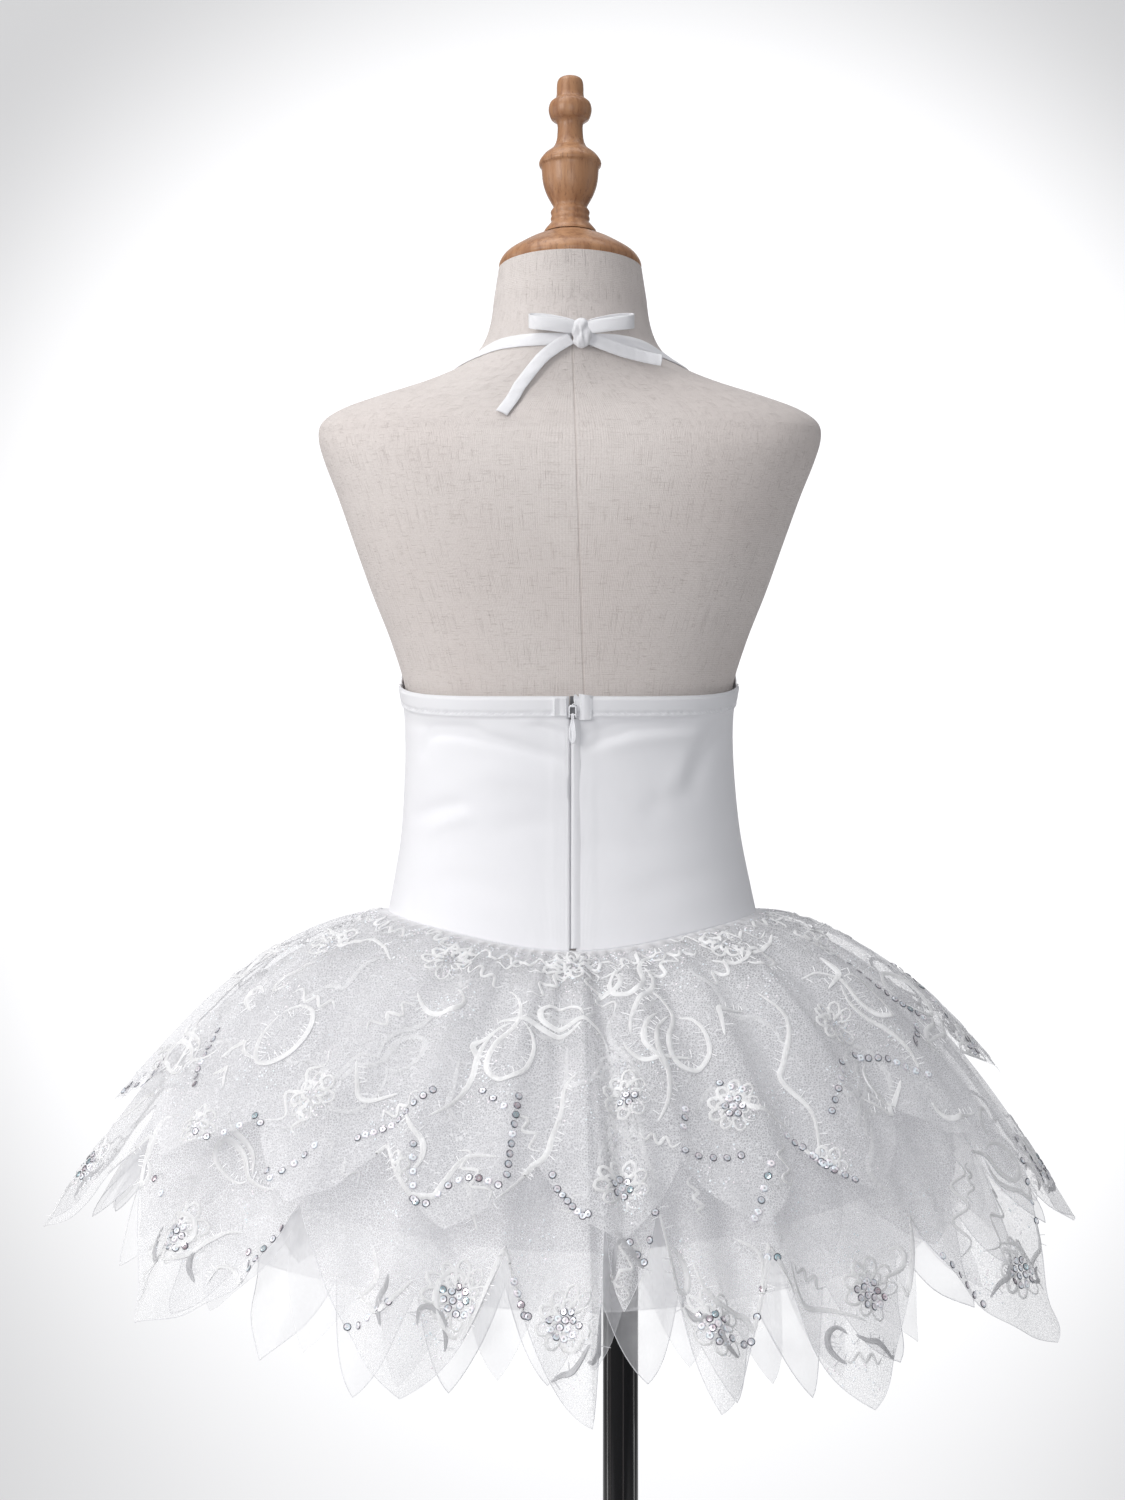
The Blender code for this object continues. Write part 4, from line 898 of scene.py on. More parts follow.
def make_zip_tape():
    """White woven tape and coil."""
    material, tree, shader = new_finish("zip_tape", (0.84, 0.84, 0.87), 0.7)
    weave = noise_on(tree, stretched(tree, object_place(tree), (2600.0, 2600.0, 900.0)), 1.0, 1.0)
    paint(tree, shader, weave, (0.76, 0.76, 0.79), (0.90, 0.90, 0.92))
    raise_by(tree, shader, weave, 0.0001)
    return material


def make_enamel():
    """White enamel on a cast zip slider and pull."""
    material, tree, shader = new_finish("white_enamel", (0.80, 0.80, 0.83), 0.22, coat=0.7,
                                        coat_roughness=0.08)
    cast = noise_on(tree, object_place(tree), 700.0, 2.0)
    polish(tree, shader, cast, 0.18, 0.32)
    raise_by(tree, shader, cast, 0.00005)
    return material


def make_painted_shade():
    """Painted shade: a dark grey, a little metallic, for the recesses of the zip's head and the tape behind
    the slider.
    """
    material, tree, shader = new_finish("zip_recess", (0.16, 0.16, 0.17), 0.5, 0.3)
    shade_mottle = noise_on(tree, object_place(tree), 600.0, 1.0)
    paint(tree, shader, shade_mottle, (0.12, 0.12, 0.13), (0.22, 0.22, 0.23))
    return material


def make_backdrop_finish():
    """White paper that glows with a painted pool of light behind the object, which falls off to the corners
    and the sides.

    It is solid from its lit side alone, so that it hides nothing from whoever looks from outside the room.
    """
    material, tree, shader = new_finish("white_paper", (0.25, 0.25, 0.252), 0.95, specular=0.0)
    place = object_place(tree)
    flat = add(tree, "VectorMath", {0: place, 1: (1.0, 0.0, 1.0)}, operation="MULTIPLY").outputs[0]
    off = add(tree, "VectorMath", {0: flat, 1: POOL_CENTRE}, operation="DISTANCE").outputs["Value"]
    pool = spread(tree, off, POOL_OUTER, POOL_INNER, POOL_LOW, POOL_HIGH)
    split = add(tree, "SeparateXYZ", {0: place})
    aside = maths(tree, "ABSOLUTE", split.outputs[0])
    sides = spread(tree, aside, SIDE_OUTER, SIDE_INNER, SIDE_LOW, 1.0)
    sides = maths(tree, "MULTIPLY", sides, spread(tree, split.outputs[1], *POOL_FRONT, 1.0, 0.0))
    seen = add(tree, "LightPath").outputs["Is Camera Ray"]
    floor = maths(tree, "MULTIPLY", seen, spread(tree, split.outputs[1], *PALE_FLOOR))
    sides = maths(tree, "MAXIMUM", sides, floor)
    # the paper's emission paints the pool of light
    feed(tree, shader.inputs["Emission Color"], (0.988, 0.988, 1.0, 1.0))
    feed(tree, shader.inputs["Emission Strength"], maths(tree, "MULTIPLY", pool, sides))
    side = add(tree, "NewGeometry").outputs["Backfacing"]
    clear = add(tree, "BsdfTransparent").outputs[0]
    paper = add(tree, "MixShader", {0: side, 1: shader.outputs[0], 2: clear}).outputs[0]
    tree.links.new(paper, tree.nodes["Material Output"].inputs["Surface"])
    return material


# ---- view, light and room -----------------------------------------------------------------------
def make_camera():
    """Level behind the garment, looking along -Y."""
    view = bpy.data.objects.new("view", bpy.data.cameras.new("view"))
    view.data.lens = LENS
    view.location = CAMERA_AT
    view.rotation_euler = (math.radians(90.0), 0.0, math.radians(180.0))
    bpy.context.scene.collection.objects.link(view)
    bpy.context.scene.camera = view


def make_lamp(name, place, target, width, height, power, colour):
    lamp = bpy.data.objects.new(name, bpy.data.lights.new(name, "AREA"))
    lamp.data.shape = "RECTANGLE"
    lamp.data.size = width
    lamp.data.size_y = height
    lamp.data.energy = power
    lamp.data.color = colour
    lamp.location = place
    lamp.rotation_euler = (Vector(target) - Vector(place)).to_track_quat("-Z", "Y").to_euler()
    bpy.context.scene.collection.objects.link(lamp)


def make_light():
    scene = bpy.context.scene
    scene.view_settings.view_transform = "Standard"
    scene.view_settings.look = "None"
    scene.cycles.transparent_max_bounces = 48
    world = bpy.data.worlds.new("studio")
    world.use_nodes = True
    tree = world.node_tree
    sky = tree.nodes["Background"]
    sky.inputs["Color"].default_value = (0.96, 0.97, 1.0, 1.0)
    seen = add(tree, "LightPath").outputs["Is Camera Ray"]
    strength = maths(tree, "MULTIPLY_ADD", seen, WORLD_SEEN - WORLD_LIGHT, WORLD_LIGHT)
    feed(tree, sky.inputs["Strength"], strength)
    scene.world = world
    for lamp in LAMPS:
        make_lamp(*lamp)


def make_room():
    """A paper sweep: the floor, a quarter round and the wall behind the object."""
    def place(column, row):
        across = ROOM_HALF_WIDTH * (1.0 - 2.0 * column)
        if row <= FLOOR_ROWS:
            return Vector((across, FLOOR_FRONT + (SWEEP_START - FLOOR_FRONT) * row / FLOOR_ROWS, 0.0))
        if row <= FLOOR_ROWS + SWEEP_ROWS:
            turn = math.radians(90.0 * (row - FLOOR_ROWS) / SWEEP_ROWS)
            return Vector((across, SWEEP_START - SWEEP_RADIUS * math.sin(turn),
                           SWEEP_RADIUS * (1.0 - math.cos(turn))))
        return Vector((across, SWEEP_START - SWEEP_RADIUS, WALL_TOP))

    room = piece_of("room", bent_grid(place, 1, FLOOR_ROWS + SWEEP_ROWS + 1), [make_backdrop_finish()])


# ---- dress form ---------------------------------------------------------------------------------
@lru_cache(maxsize=None)
def form_section(height):
    return tuple(read_row(FORM_SECTIONS, height))


def form_point(angle, height, lift=0.0):
    """A point over the linen; angle is the section's own parameter in degrees."""
    half_width, back, front, power, aside = form_section(height)
    cosine = math.cos(math.radians(angle))
    sine = math.sin(math.radians(angle))
    depth = back if sine >= 0.0 else front
    x = half_width * math.copysign(abs(cosine) ** (2.0 / power), cosine)
    y = depth * math.copysign(abs(sine) ** (2.0 / power), sine)
    normal = Vector((math.copysign(abs(x / half_width) ** (power - 1.0), x) / half_width,
                     math.copysign(abs(y / depth) ** (power - 1.0), y) / depth, 0.0)).normalized()
    return Vector((x + aside, y, height)) + normal * lift


def polar_radius(angle, height):
    """How far the linen lies from the middle in a true direction."""
    half_width, back, front, power = form_section(height)[:4]
    direction = math.radians(angle)
    depth = back if math.sin(direction) >= 0.0 else front
    return (abs(math.cos(direction) / half_width) ** power
            + abs(math.sin(direction) / depth) ** power) ** (-1.0 / power)


def make_form(linen):
    """The torso and its neck; returns the surface that the cloth's pieces are laid over."""
    heights = []
    for low, high in zip(FORM_SECTIONS, FORM_SECTIONS[1:]):
        heights += [low[0] + (high[0] - low[0]) * step / FORM_STEPS for step in range(FORM_STEPS)]
    heights.append(FORM_SECTIONS[-1][0])
    rings = len(heights)

    def neck_ring(column, radius):
        angle = 2.0 * math.pi * column / FORM_AROUND
        x, y = radius * math.cos(angle), radius * math.sin(angle)
        return Vector((NECK_AXIS[0] + x, NECK_AXIS[1] + y, NECK_TOP + y * math.tan(NECK_TILT)))

    def place(column, row):
        if row == 0:
            return Vector((0.0, 0.0, heights[0]))
        if row <= rings:
            return form_point(360.0 * column / FORM_AROUND, heights[row - 1])
        if row <= rings + NECK_ROWS:
            share = (row - rings) / NECK_ROWS
            start = form_point(360.0 * column / FORM_AROUND, heights[-1])
            return start.lerp(neck_ring(column, NECK_TOP_RADIUS), share)
        return neck_ring(column, 0.0)

    mesh_data = bent_grid(place, FORM_AROUND, rings + NECK_ROWS + 1, wrap=True)
    tree = BVHTree.FromBMesh(mesh_data)
    dress(piece_of("form_linen", mesh_data, [linen]), "linen", "form_torso")
    return tree


def lathe(name, outline, seat, material, slot, node, sharp_degrees=35.0):
    """A turned piece from an outline of radius and height pairs, from the foot up."""
    def place(column, row):
        radius, height = outline[row]
        angle = 2.0 * math.pi * column / TURNED_AROUND
        return seat @ Vector((radius * math.cos(angle), radius * math.sin(angle), height))

    mesh_data = bent_grid(place, TURNED_AROUND, len(outline) - 1, wrap=True)
    dress(piece_of(name, mesh_data, [material], sharp_degrees), slot, node)


def softened(profile):
    """A profile with smooth curves between its points, and its two flat ends as they are."""
    inner = smooth_route(profile[1:-1], PROFILE_STEPS * (len(profile) - 3))
    return [profile[0], *((max(point[0], 0.0), point[1]) for point in inner), profile[-1]]


def make_wood_pieces(wood):
    seat = Matrix.Translation((*NECK_AXIS, NECK_TOP)) @ Matrix.Rotation(NECK_TILT, 4, "X")
    for name, profile, foot in (("neck_cap", CAP_PROFILE, 0.0), ("finial", FINIAL_PROFILE, FINIAL_FOOT)):
        raised = seat @ Matrix.Translation((0.0, 0.0, foot + SEAM_GAP))
        lathe(name + "_wood", softened(profile), raised, wood, "wood", name, sharp_degrees=50.0)


def quarter(radius, height, edge):
    """A quarter round from an upright wall at radius into a flat top at height."""
    turns = [math.radians(90.0 * step / ARC_STEPS) for step in range(ARC_STEPS + 1)]
    return [(radius - edge * (1.0 - math.cos(turn)), height - edge * (1.0 - math.sin(turn)))
            for turn in turns]


def make_stand(black):
    axis = Matrix.Translation((POLE_X, 0.0, 0.0))
    collar_top = BASE_THICK + COLLAR_HEIGHT
    base = [(0.0, 0.0), (BASE_RADIUS, 0.0), *quarter(BASE_RADIUS, BASE_THICK, BASE_EDGE),
            (COLLAR_RADIUS, BASE_THICK), *quarter(COLLAR_RADIUS, collar_top, COLLAR_EDGE),
            (0.0, collar_top)]
    lathe("stand_base_enamel", base, axis, black, "black_metal", "stand_base")
    foot = collar_top + SEAM_GAP
    top = FORM_SECTIONS[0][0] - SEAM_GAP
    lathe("pole_enamel", [(0.0, foot), (POLE_RADIUS, foot), (POLE_RADIUS, top), (0.0, top)], axis, black,
          "black_metal", "pole")


# ---- bodice -------------------------------------------------------------------------------------
def waist_height(angle):
    return WAIST_SIDE - WAIST_DIP * math.sin(math.radians(angle)) ** 2


def seam_height(angle):
    """The waist seam's height at the section's own parameter instead of at a true angle."""
    point = form_point(angle, WAIST_SIDE)
    return waist_height(math.degrees(math.atan2(point.y, point.x)))


def back_top(angle):
    """The height of the bodice's upper edge on the back, at an angle from the side seam."""
    return BACK_TOP + (BACK_TOP_SIDE - BACK_TOP) * (1.0 - math.sin(math.radians(angle))) ** 2


def on_side(side, angle):
    """The angle itself on the +X side, and its mirror image on the other."""
    return angle if side > 0 else 180.0 - angle


def crease_depth(creases, x, height):
    """How far the creases push the satin in at a place."""
    total = 0.0
    for middle_x, middle_z, length, width, depth, slant in creases:
        turn = math.radians(slant)
        off_x, off_z = (middle_x - x) / MM, (middle_z - height) / MM
        along = off_x * math.cos(turn) + off_z * math.sin(turn)
        across = off_z * math.cos(turn) - off_x * math.sin(turn)
        bowed = across - 2.0 * (along / length) ** 2 * width
        total += depth * math.exp(-(bowed / (CREASE_SPREAD * width)) ** 2 - (2.0 * along / length) ** 4)
    return total * CREASE_GAIN * MM


def make_back_panel(side, name, satin):
    """One back panel, from the side seam to the zip, with its folded and stitched hem."""
    plain_rows = PANEL_ROWS - BAND_ROWS

    def place(column, row):
        share = column / PANEL_COLUMNS
        angle = 90.0 * share
        top = back_top(angle)
        band = top - BAND_DEPTH
        low = seam_height(angle) - HEM_TUCK
        if row < plain_rows:
            height = low + (band - BAND_STEP - low) * row / (plain_rows - 1)
        else:
            height = band - BAND_STEP + (BAND_DEPTH + BAND_STEP) * (row - plain_rows + 1) / BAND_ROWS
        lift = CLOTH_LIFT + (BAND_LIFT - CLOTH_LIFT) * soft_step(height, band - BAND_STEP, band)
        lift -= HEM_ROLL * soft_step(height, top - 2.0 * HEM_ROLL, top)
        stitched = math.exp(-((height - band - STITCH_LINE) / GROOVE_WIDTH) ** 2)
        pucker = 0.5 + 0.5 * math.sin(share * PUCKERS + 2.0 * math.sin(share * 31.0))
        lift -= (GROOVE_DEPTH + PUCKER_DEPTH * pucker) * stitched
        point = form_point(on_side(side, angle), height)
        if height < band:
            away = (soft_step(band - height, 0.0, CREASE_FADE_BAND)
                    * soft_step(height - low, 0.0, CREASE_FADE_WAIST))
            lift -= away * crease_depth(BACK_CREASES, point.x, height)
        lift += ZIP_FACING_RISE * soft_step(ZIP_FACING_END - abs(point.x), 0.0, ZIP_FACING_EDGE)
        point = form_point(on_side(side, angle), height, max(lift, LEAST_LIFT))
        point.x = side * max(side * point.x, ZIP_HALF_SLOT)
        point.y = max(point.y, SIDE_GAP)
        return point

    def mirrored(column, row):
        return place(PANEL_COLUMNS - column, row)

    mesh_data = bent_grid(place if side > 0 else mirrored, PANEL_COLUMNS, PANEL_ROWS)
    piece = give_wall(piece_of(name + "_satin", mesh_data, [satin]), CLOTH)
    dress(piece, "white_satin", name)


def make_front(satin):
    """The halter front, from the waist seam up to the two strap corners."""
    half = FRONT_COLUMNS
    edge_rows = [(float(index), *row) for index, row in enumerate(HALTER_EDGE)]

    def place(column, row):
        step = abs(column - half)
        side = 1.0 if column > half else -1.0
        edge_x, edge_z = read_row(edge_rows, (len(edge_rows) - 1) * (1.0 - step / half))
        low_angle = 90.0 * (1.0 - step / half)
        low = seam_height(-low_angle) - HEM_TUCK
        height = low + (edge_z - low) * row / FRONT_ROWS
        power = form_section(height)[3]
        low_across = math.cos(math.radians(low_angle)) ** (2.0 / form_section(low)[3])
        top_across = min(1.0, edge_x / form_section(edge_z)[0])
        if step == half:
            top_across = 1.0
        across = low_across + (top_across - low_across) * row / FRONT_ROWS
        angle = math.degrees(math.acos(min(1.0, across) ** (power / 2.0)))
        edge = 1.0 - row / FRONT_ROWS
        x = form_point(on_side(side, -angle), height).x
        lift = FRONT_LIFT - crease_depth(FRONT_CREASES, x, height) * soft_step(edge, 0.0, 0.12)
        lift -= FRONT_ROLL * soft_step(edge, 0.016, 0.0)
        point = form_point(on_side(side, -angle), height, max(lift, LEAST_LIFT))
        point.y = min(point.y, -SIDE_GAP)
        return point

    mesh_data = bent_grid(place, 2 * half, FRONT_ROWS)
    piece = give_wall(piece_of("bodice_front_satin", mesh_data, [satin]), CLOTH)
    dress(piece, "white_satin", "bodice_front")


# ---- straps and bow -----------------------------------------------------------------------------
def over_form(tree, point, lift):
    """The nearest point of the linen, lifted off it."""
    spot, normal, _, _ = tree.find_nearest(point)
    return spot + normal * lift


def on_back(tree, x, height, lift):
    """The point of the back at x and height, lifted off the linen."""
    spot, normal, _, _ = tree.ray_cast(Vector((x, 1.0, height)), Vector((0.0, -1.0, 0.0)))
    return spot + normal * lift


def ribbon_section(line):
    """Where a ribbon's lengthwise line lies across it, from -1 to 1, and its soft rise."""
    across = -math.cos(math.pi * line / RIBBON_LINES)
    return across, RIBBON_DOME * (1.0 - across**4)


def lying_ribbon(name, tree, centres, lifts, satin, free=0.0):
    """A folded ribbon that lies over the linen; free is how far it hangs flat instead."""
    def place(column, row):
        across, rise = ribbon_section(row)
        centre = centres[column]
        ahead = centres[min(column + 1, len(centres) - 1)] - centres[max(column - 1, 0)]
        normal = tree.find_nearest(centre)[1]
        face = normal.lerp(Vector((0.0, 1.0, 0.0)), free).normalized()
        side = face.cross(ahead).normalized() * (STRAP_WIDTH / 2.0 * across)
        ripple = RIBBON_RIPPLE * math.sin(column * 0.9 + 2.0 * across) * (1.0 - across**2)
        proud = 1.2 * rise + ripple - RIBBON_SINK + 0.4 * MM * free
        lying = over_form(tree, centre + side, lifts[column] + proud)
        return lying.lerp(centre + side + face * proud, free)

    piece = piece_of(name + "_satin", bent_grid(place, len(centres) - 1, RIBBON_LINES), [satin])
    dress(give_wall(piece, STRAP_THICK * 0.35), "white_satin", name)


def make_straps(tree, satin):
    """The two neck straps, from the halter's corners to the knot."""
    for side, name in ((1.0, "strap_left"), (-1.0, "strap_right")):
        route = [Vector((side * x, y, z)) for x, y, z in STRAP_ROUTE]
        route[-1].x = KNOT_CENTRE[0] + side * (KNOT_RADII[0] - 1.0 * MM)
        centres = [over_form(tree, point, STRAP_LIFT) for point in smooth_route(route, STRAP_STEPS)]
        lying_ribbon(name, tree, centres, [STRAP_LIFT] * len(centres), satin)


def make_knot(knot, satin):
    """The band round the knot, with the puckers that the tying draws into it."""
    mesh_data = new_mesh()
    bmesh.ops.create_uvsphere(mesh_data, u_segments=40, v_segments=26, radius=1.0, calc_uvs=True)
    for vert in mesh_data.verts:
        x, y, z = vert.co
        pucker = 0.10 * math.cos(9.0 * x + 2.0 * z) * (1.0 - z * z) + 0.06 * math.cos(14.0 * x - 3.0 * z)
        waist = 1.0 - 0.26 * math.exp(-((z + 0.45 * x - 0.05) / 0.26) ** 2)
        full = waist * (1.0 + pucker)
        vert.co = knot + Vector((x * full * KNOT_RADII[0], y * full * KNOT_RADII[1], z * KNOT_RADII[2]))
    mesh_data.normal_update()
    dress(piece_of("bow_knot_satin", mesh_data, [satin]), "white_satin", "bow_knot")


def make_loops(knot, satin):
    """The bow's loops, out and back through the knot."""
    reach = max(row[0] for row in LOOP_PATH)
    path = smooth_route(LOOP_PATH, LOOP_STEPS)
    for side, name in ((1.0, "bow_loop_left"), (-1.0, "bow_loop_right")):
        def place(column, row, side=side):
            out, proud, rise = path[column]
            across, dome = ribbon_section(row)
            back = proud - LOOP_SAG * (out / reach) ** 2
            pinch = 1.0 - 0.34 * math.exp(-(out / (5.0 * MM)) ** 2)
            fold = dome * (1.0 if column * 2 < LOOP_STEPS else -1.0) * soft_step(reach - out, 0.0, 6.0 * MM)
            rise += -side * across * pinch * LOOP_WIDTH / 2.0
            return knot + Vector((side * out, back + fold, rise))

        piece = piece_of(name + "_satin", bent_grid(place, LOOP_STEPS, RIBBON_LINES), [satin])
        dress(give_wall(piece, STRAP_THICK * 0.55), "white_satin", name)


def make_tails(tree, satin):
    """The bow's two loose ends."""
    for route, name, free in ((TAIL_LEFT, "bow_tail_left", 0.3), (TAIL_RIGHT, "bow_tail_right", 0.75)):
        points = smooth_route(route, TAIL_STEPS)
        centres = [on_back(tree, x, height, lift) for x, height, lift in points]
        lying_ribbon(name, tree, centres, [lift for _, _, lift in points], satin, free)


# ---- zip and stitching --------------------------------------------------------------------------
def add_back_strip(mesh_data, tree, section, low, high, rows, slant=0.0):
    """Adds a strip of the given section up the back; slant raises its top towards the section's end."""
    first, last = section[0][0], section[-1][0]

    def place(column, row):
        x, lift = section[column]
        share = row / rows
        top = high + slant * MM * (x - first) / (last - first)
        return on_back(tree, x * MM, low + (top - low) * share, lift * MM)

    add_grid(mesh_data, place, len(section) - 1, rows)


def make_zip_folds(tree, satin):
    """The satin's folded edges beside the zip, and the facings stitched over the band's ends."""
    mesh_data = new_mesh()
    waist = waist_height(90.0)
    add_back_strip(mesh_data, tree, LIP_RIGHT, waist, COIL_TOP + 0.6 * MM, 60)
    add_back_strip(mesh_data, tree, LIP_LEFT, waist, COIL_TOP + 0.2 * MM, 60)
    add_back_strip(mesh_data, tree, FACING_LEFT, *FACING_LEFT_ENDS, 12)
    add_back_strip(mesh_data, tree, FACING_RIGHT, *FACING_RIGHT_ENDS, 14, slant=1.2)
    bmesh.ops.recalc_face_normals(mesh_data, faces=mesh_data.faces[:])
    mesh_data.normal_update()
    dress(piece_of("zip_folds_satin", mesh_data, [satin]), "white_satin")


def make_zip_coil(tree, tape, painted_shade):
    """Two rows of coil on a woven tape, sunk between the folded edges, and the tape's curled end."""
    pile = Pile()
    low = waist_height(90.0)
    add_back_strip(pile.current(), tree, COIL_TAPE, low, COIL_TOP, 50)
    turns = int((COIL_TOP - low) / COIL_PITCH)
    for turn in range(turns):
        height = low + (turn + 0.5) * COIL_PITCH
        for side in (-1.0, 1.0):
            start = on_back(tree, COIL_X + side * COIL_INNER, height, COIL_LIFT)
            end = on_back(tree, COIL_X + side * COIL_OUTER, height + COIL_LEAN, COIL_LIFT - COIL_SINK)
            add_stitch(pile, start, end, COIL_WIRE)
    plain = set(pile.current().faces)
    # the tape behind the slider takes the painted shade's dark grey
    add_back_strip(pile.current(), tree, HEAD_TAPE, COIL_TOP, HEAD_TAPE_TOP, 8)
    for face in set(pile.current().faces) - plain:
        face.material_index = 1

    def curl(column, row):
        share = row / CURL_ROWS
        across = (column - 2) * 0.75 * math.sin(math.pi * (0.12 + 0.76 * share)) + 0.5 * share**2
        lift = 4.2 + 1.2 * share**2
        return on_back(tree, (CURL_X + across) * MM, CURL_FOOT + CURL_LENGTH * share, lift * MM)

    add_grid(pile.current(), curl, 4, CURL_ROWS)
    dress(piece_of("zip_coil_tape", pile.joined(), [tape, painted_shade]), "zip_tape", "zip_coil")


def add_block(mesh_data, centre, size, bevel, taper=0.0):
    """Adds a softly bevelled block; taper narrows its foot by that share."""
    made = bmesh.ops.create_cube(mesh_data, size=1.0)["verts"]
    for vert in made:
        narrow = 1.0 - taper if vert.co.z < 0.0 else 1.0
        x, y, z = vert.co
        vert.co = Vector(centre) + Vector((x * size[0] * narrow, y * size[1], z * size[2]))
    edges = list(dict.fromkeys(edge for vert in made for edge in vert.link_edges))
    bmesh.ops.bevel(mesh_data, geom=edges, offset=bevel, affect="EDGES", segments=3, profile=0.5,
                    material=-1)


def make_slider(tree, enamel, painted_shade):
    """The slider's plate, painted dark grey as shade, its nose and two cheeks with their pin; returns the
    pin's middle.
    """
    pile = Pile()
    back = on_back(tree, 0.0, SLIDER_HIGH, SLIDER_LIFT).y
    middle = (SLIDER_LOW + SLIDER_HIGH) / 2.0
    tall = SLIDER_HIGH - SLIDER_LOW
    wide = 2.0 * SLIDER_HALF_WIDTH
    cheek_deep = SLIDER_DEPTH - SLIDER_PLATE + 0.3 * MM
    add_block(pile.current(), (0.0, back + SLIDER_PLATE / 2.0, middle), (wide, SLIDER_PLATE, tall),
              0.45 * MM, taper=0.16)
    # the plate takes the painted shade's dark grey, the dark between the cheeks
    for face in pile.current().faces:
        face.material_index = 1
    for side in (-1.0, 1.0):
        centre = (side * (SLIDER_HALF_WIDTH - CHEEK / 2.0 - 0.1 * MM),
                  back + SLIDER_DEPTH - cheek_deep / 2.0, middle - 0.2 * MM)
        add_block(pile.current(), centre, (CHEEK, cheek_deep, tall * 0.84), 0.28 * MM)
    add_block(pile.current(), (0.0, back + SLIDER_PLATE + 0.75 * MM, SLIDER_HIGH - 0.9 * MM),
              (wide * 0.76, 1.7 * MM, 1.4 * MM), 0.4 * MM)
    axis = Vector((0.0, back + PULL_AXIS_DEPTH, PULL_AXIS_Z))
    half_pin = Vector((PIN_HALF_LENGTH, 0.0, 0.0))
    add_stitch(pile, axis - half_pin, axis + half_pin, PIN_RADIUS, sides=12)
    dress(piece_of("zip_slider_enamel", pile.joined(), [enamel, painted_shade], 35.0), "zip_metal", "zip_slider")
    return axis


def make_pull(axis, enamel):
    """The teardrop pull, with a rounded edge and a shallow pressed face."""
    half = smooth_route([(*point, 0.0) for point in PULL_OUTLINE], 36)
    outline = [(point.x, -point.y) for point in half] + [(-point.x, -point.y) for point in half[-2:0:-1]]
    columns = len(outline)

    def place(column, row):
        across, height = outline[(columns - column) % columns]
        scale, depth = PULL_ROWS[row]
        squeeze = 0.5 + 0.5 * scale if scale else 0.0
        return axis + Vector((across * scale, depth * PULL_THICK,
                              (height + PULL_MIDDLE) * squeeze - PULL_MIDDLE))

    mesh_data = bent_grid(place, columns, len(PULL_ROWS) - 1, wrap=True)
    bmesh.ops.recalc_face_normals(mesh_data, faces=mesh_data.faces[:])
    piece = piece_of("zip_pull_enamel", mesh_data, [enamel], 35.0)
    dress(piece, "zip_metal", "zip_pull", body="pull_tab")


def band_point(side, share, rise, lift):
    """A point over the band of a back panel; share runs from the side seam to the zip."""
    angle = 90.0 * share
    return form_point(on_side(side, angle), back_top(angle) - BAND_DEPTH + rise, lift)


def make_stitches(tree, thread):
    """Zigzag along the hem band, straight stitches round the facings, and the zip's thread loop."""
    pile = Pile()
    for side in (-1.0, 1.0):
        share = 0.02
        foot = band_point(side, share, ZIGZAG_FOOT, BAND_LIFT - STITCH_DEPTH)
        up = True
        while abs(foot.x) > ZIGZAG_END or share < 0.5:
            share += 0.0052
            rise = ZIGZAG_FOOT + (ZIGZAG_RISE if up else 0.0)
            tip = band_point(side, share, rise, BAND_LIFT - STITCH_DEPTH)
            if (tip - foot).length < (ZIGZAG_LENGTH if up else ZIGZAG_GAP):
                continue
            if up:
                add_stitch(pile, foot, tip, STITCH_RADIUS)
            foot = tip
            up = not up
    for corners in (FRAME_LEFT, FRAME_RIGHT):
        for start, end in zip(corners, corners[1:] + corners[:1]):
            add_running_stitch(pile, tree, start, end)
    points = [on_back(tree, x * MM, height, lift * MM) for x, height, lift in smooth_route(HEAD_THREAD, 12)]
    for start, end in zip(points, points[1:]):
        add_stitch(pile, start, end, STITCH_RADIUS)
    dress(piece_of("white_stitches", pile.joined(), [thread]), "white_satin")


def add_running_stitch(pile, tree, start, end):
    """Short stitches with gaps between two places of the back: x, lift in millimetres, height."""
    first = on_back(tree, start[0] * MM, start[2], start[1] * MM)
    last = on_back(tree, end[0] * MM, end[2], end[1] * MM)
    count = max(2, round((last - first).length / RUNNING_PITCH))
    for index in range(count):
        add_stitch(pile, first.lerp(last, (index + 0.15) / count), first.lerp(last, (index + 0.85) / count),
                   STITCH_RADIUS)


# ---- skirt --------------------------------------------------------------------------------------
@lru_cache(maxsize=None)
def petals_of(name):
    """Each petal as its first notch, tip and last notch, in degrees, from the first one round."""
    tips = LAYERS[name].tips
    found = []
    for index, row in enumerate(tips):
        before = tips[index - 1][0] - (360.0 if index == 0 else 0.0)
        after = tips[(index + 1) % len(tips)][0] + (360.0 if index == len(tips) - 1 else 0.0)
        found.append(((before + row[0]) / 2.0, row[0], (row[0] + after) / 2.0))
    return found


def split_petals(name):
    """The angles of a layer's lines from seam to edge, evenly split between notches and tips."""
    split = LAYERS[name].split
    angles = []
    for first, tip, last in petals_of(name):
        for start, end in ((first, tip), (tip, last)):
            angles += [start + (end - start) * step / split for step in range(split)]
    return angles


def along_petal(name, angle):
    """Where an angle lies in its petal, from 0 at the first notch to 1 at the last."""
    for turn in (angle, angle % 360.0, angle % 360.0 - 360.0):
        for first, tip, last in petals_of(name):
            if first <= turn <= last:
                if turn <= tip:
                    return 0.5 * (turn - first) / (tip - first)
                return 0.5 + 0.5 * (turn - tip) / (last - tip)
    return 0.0


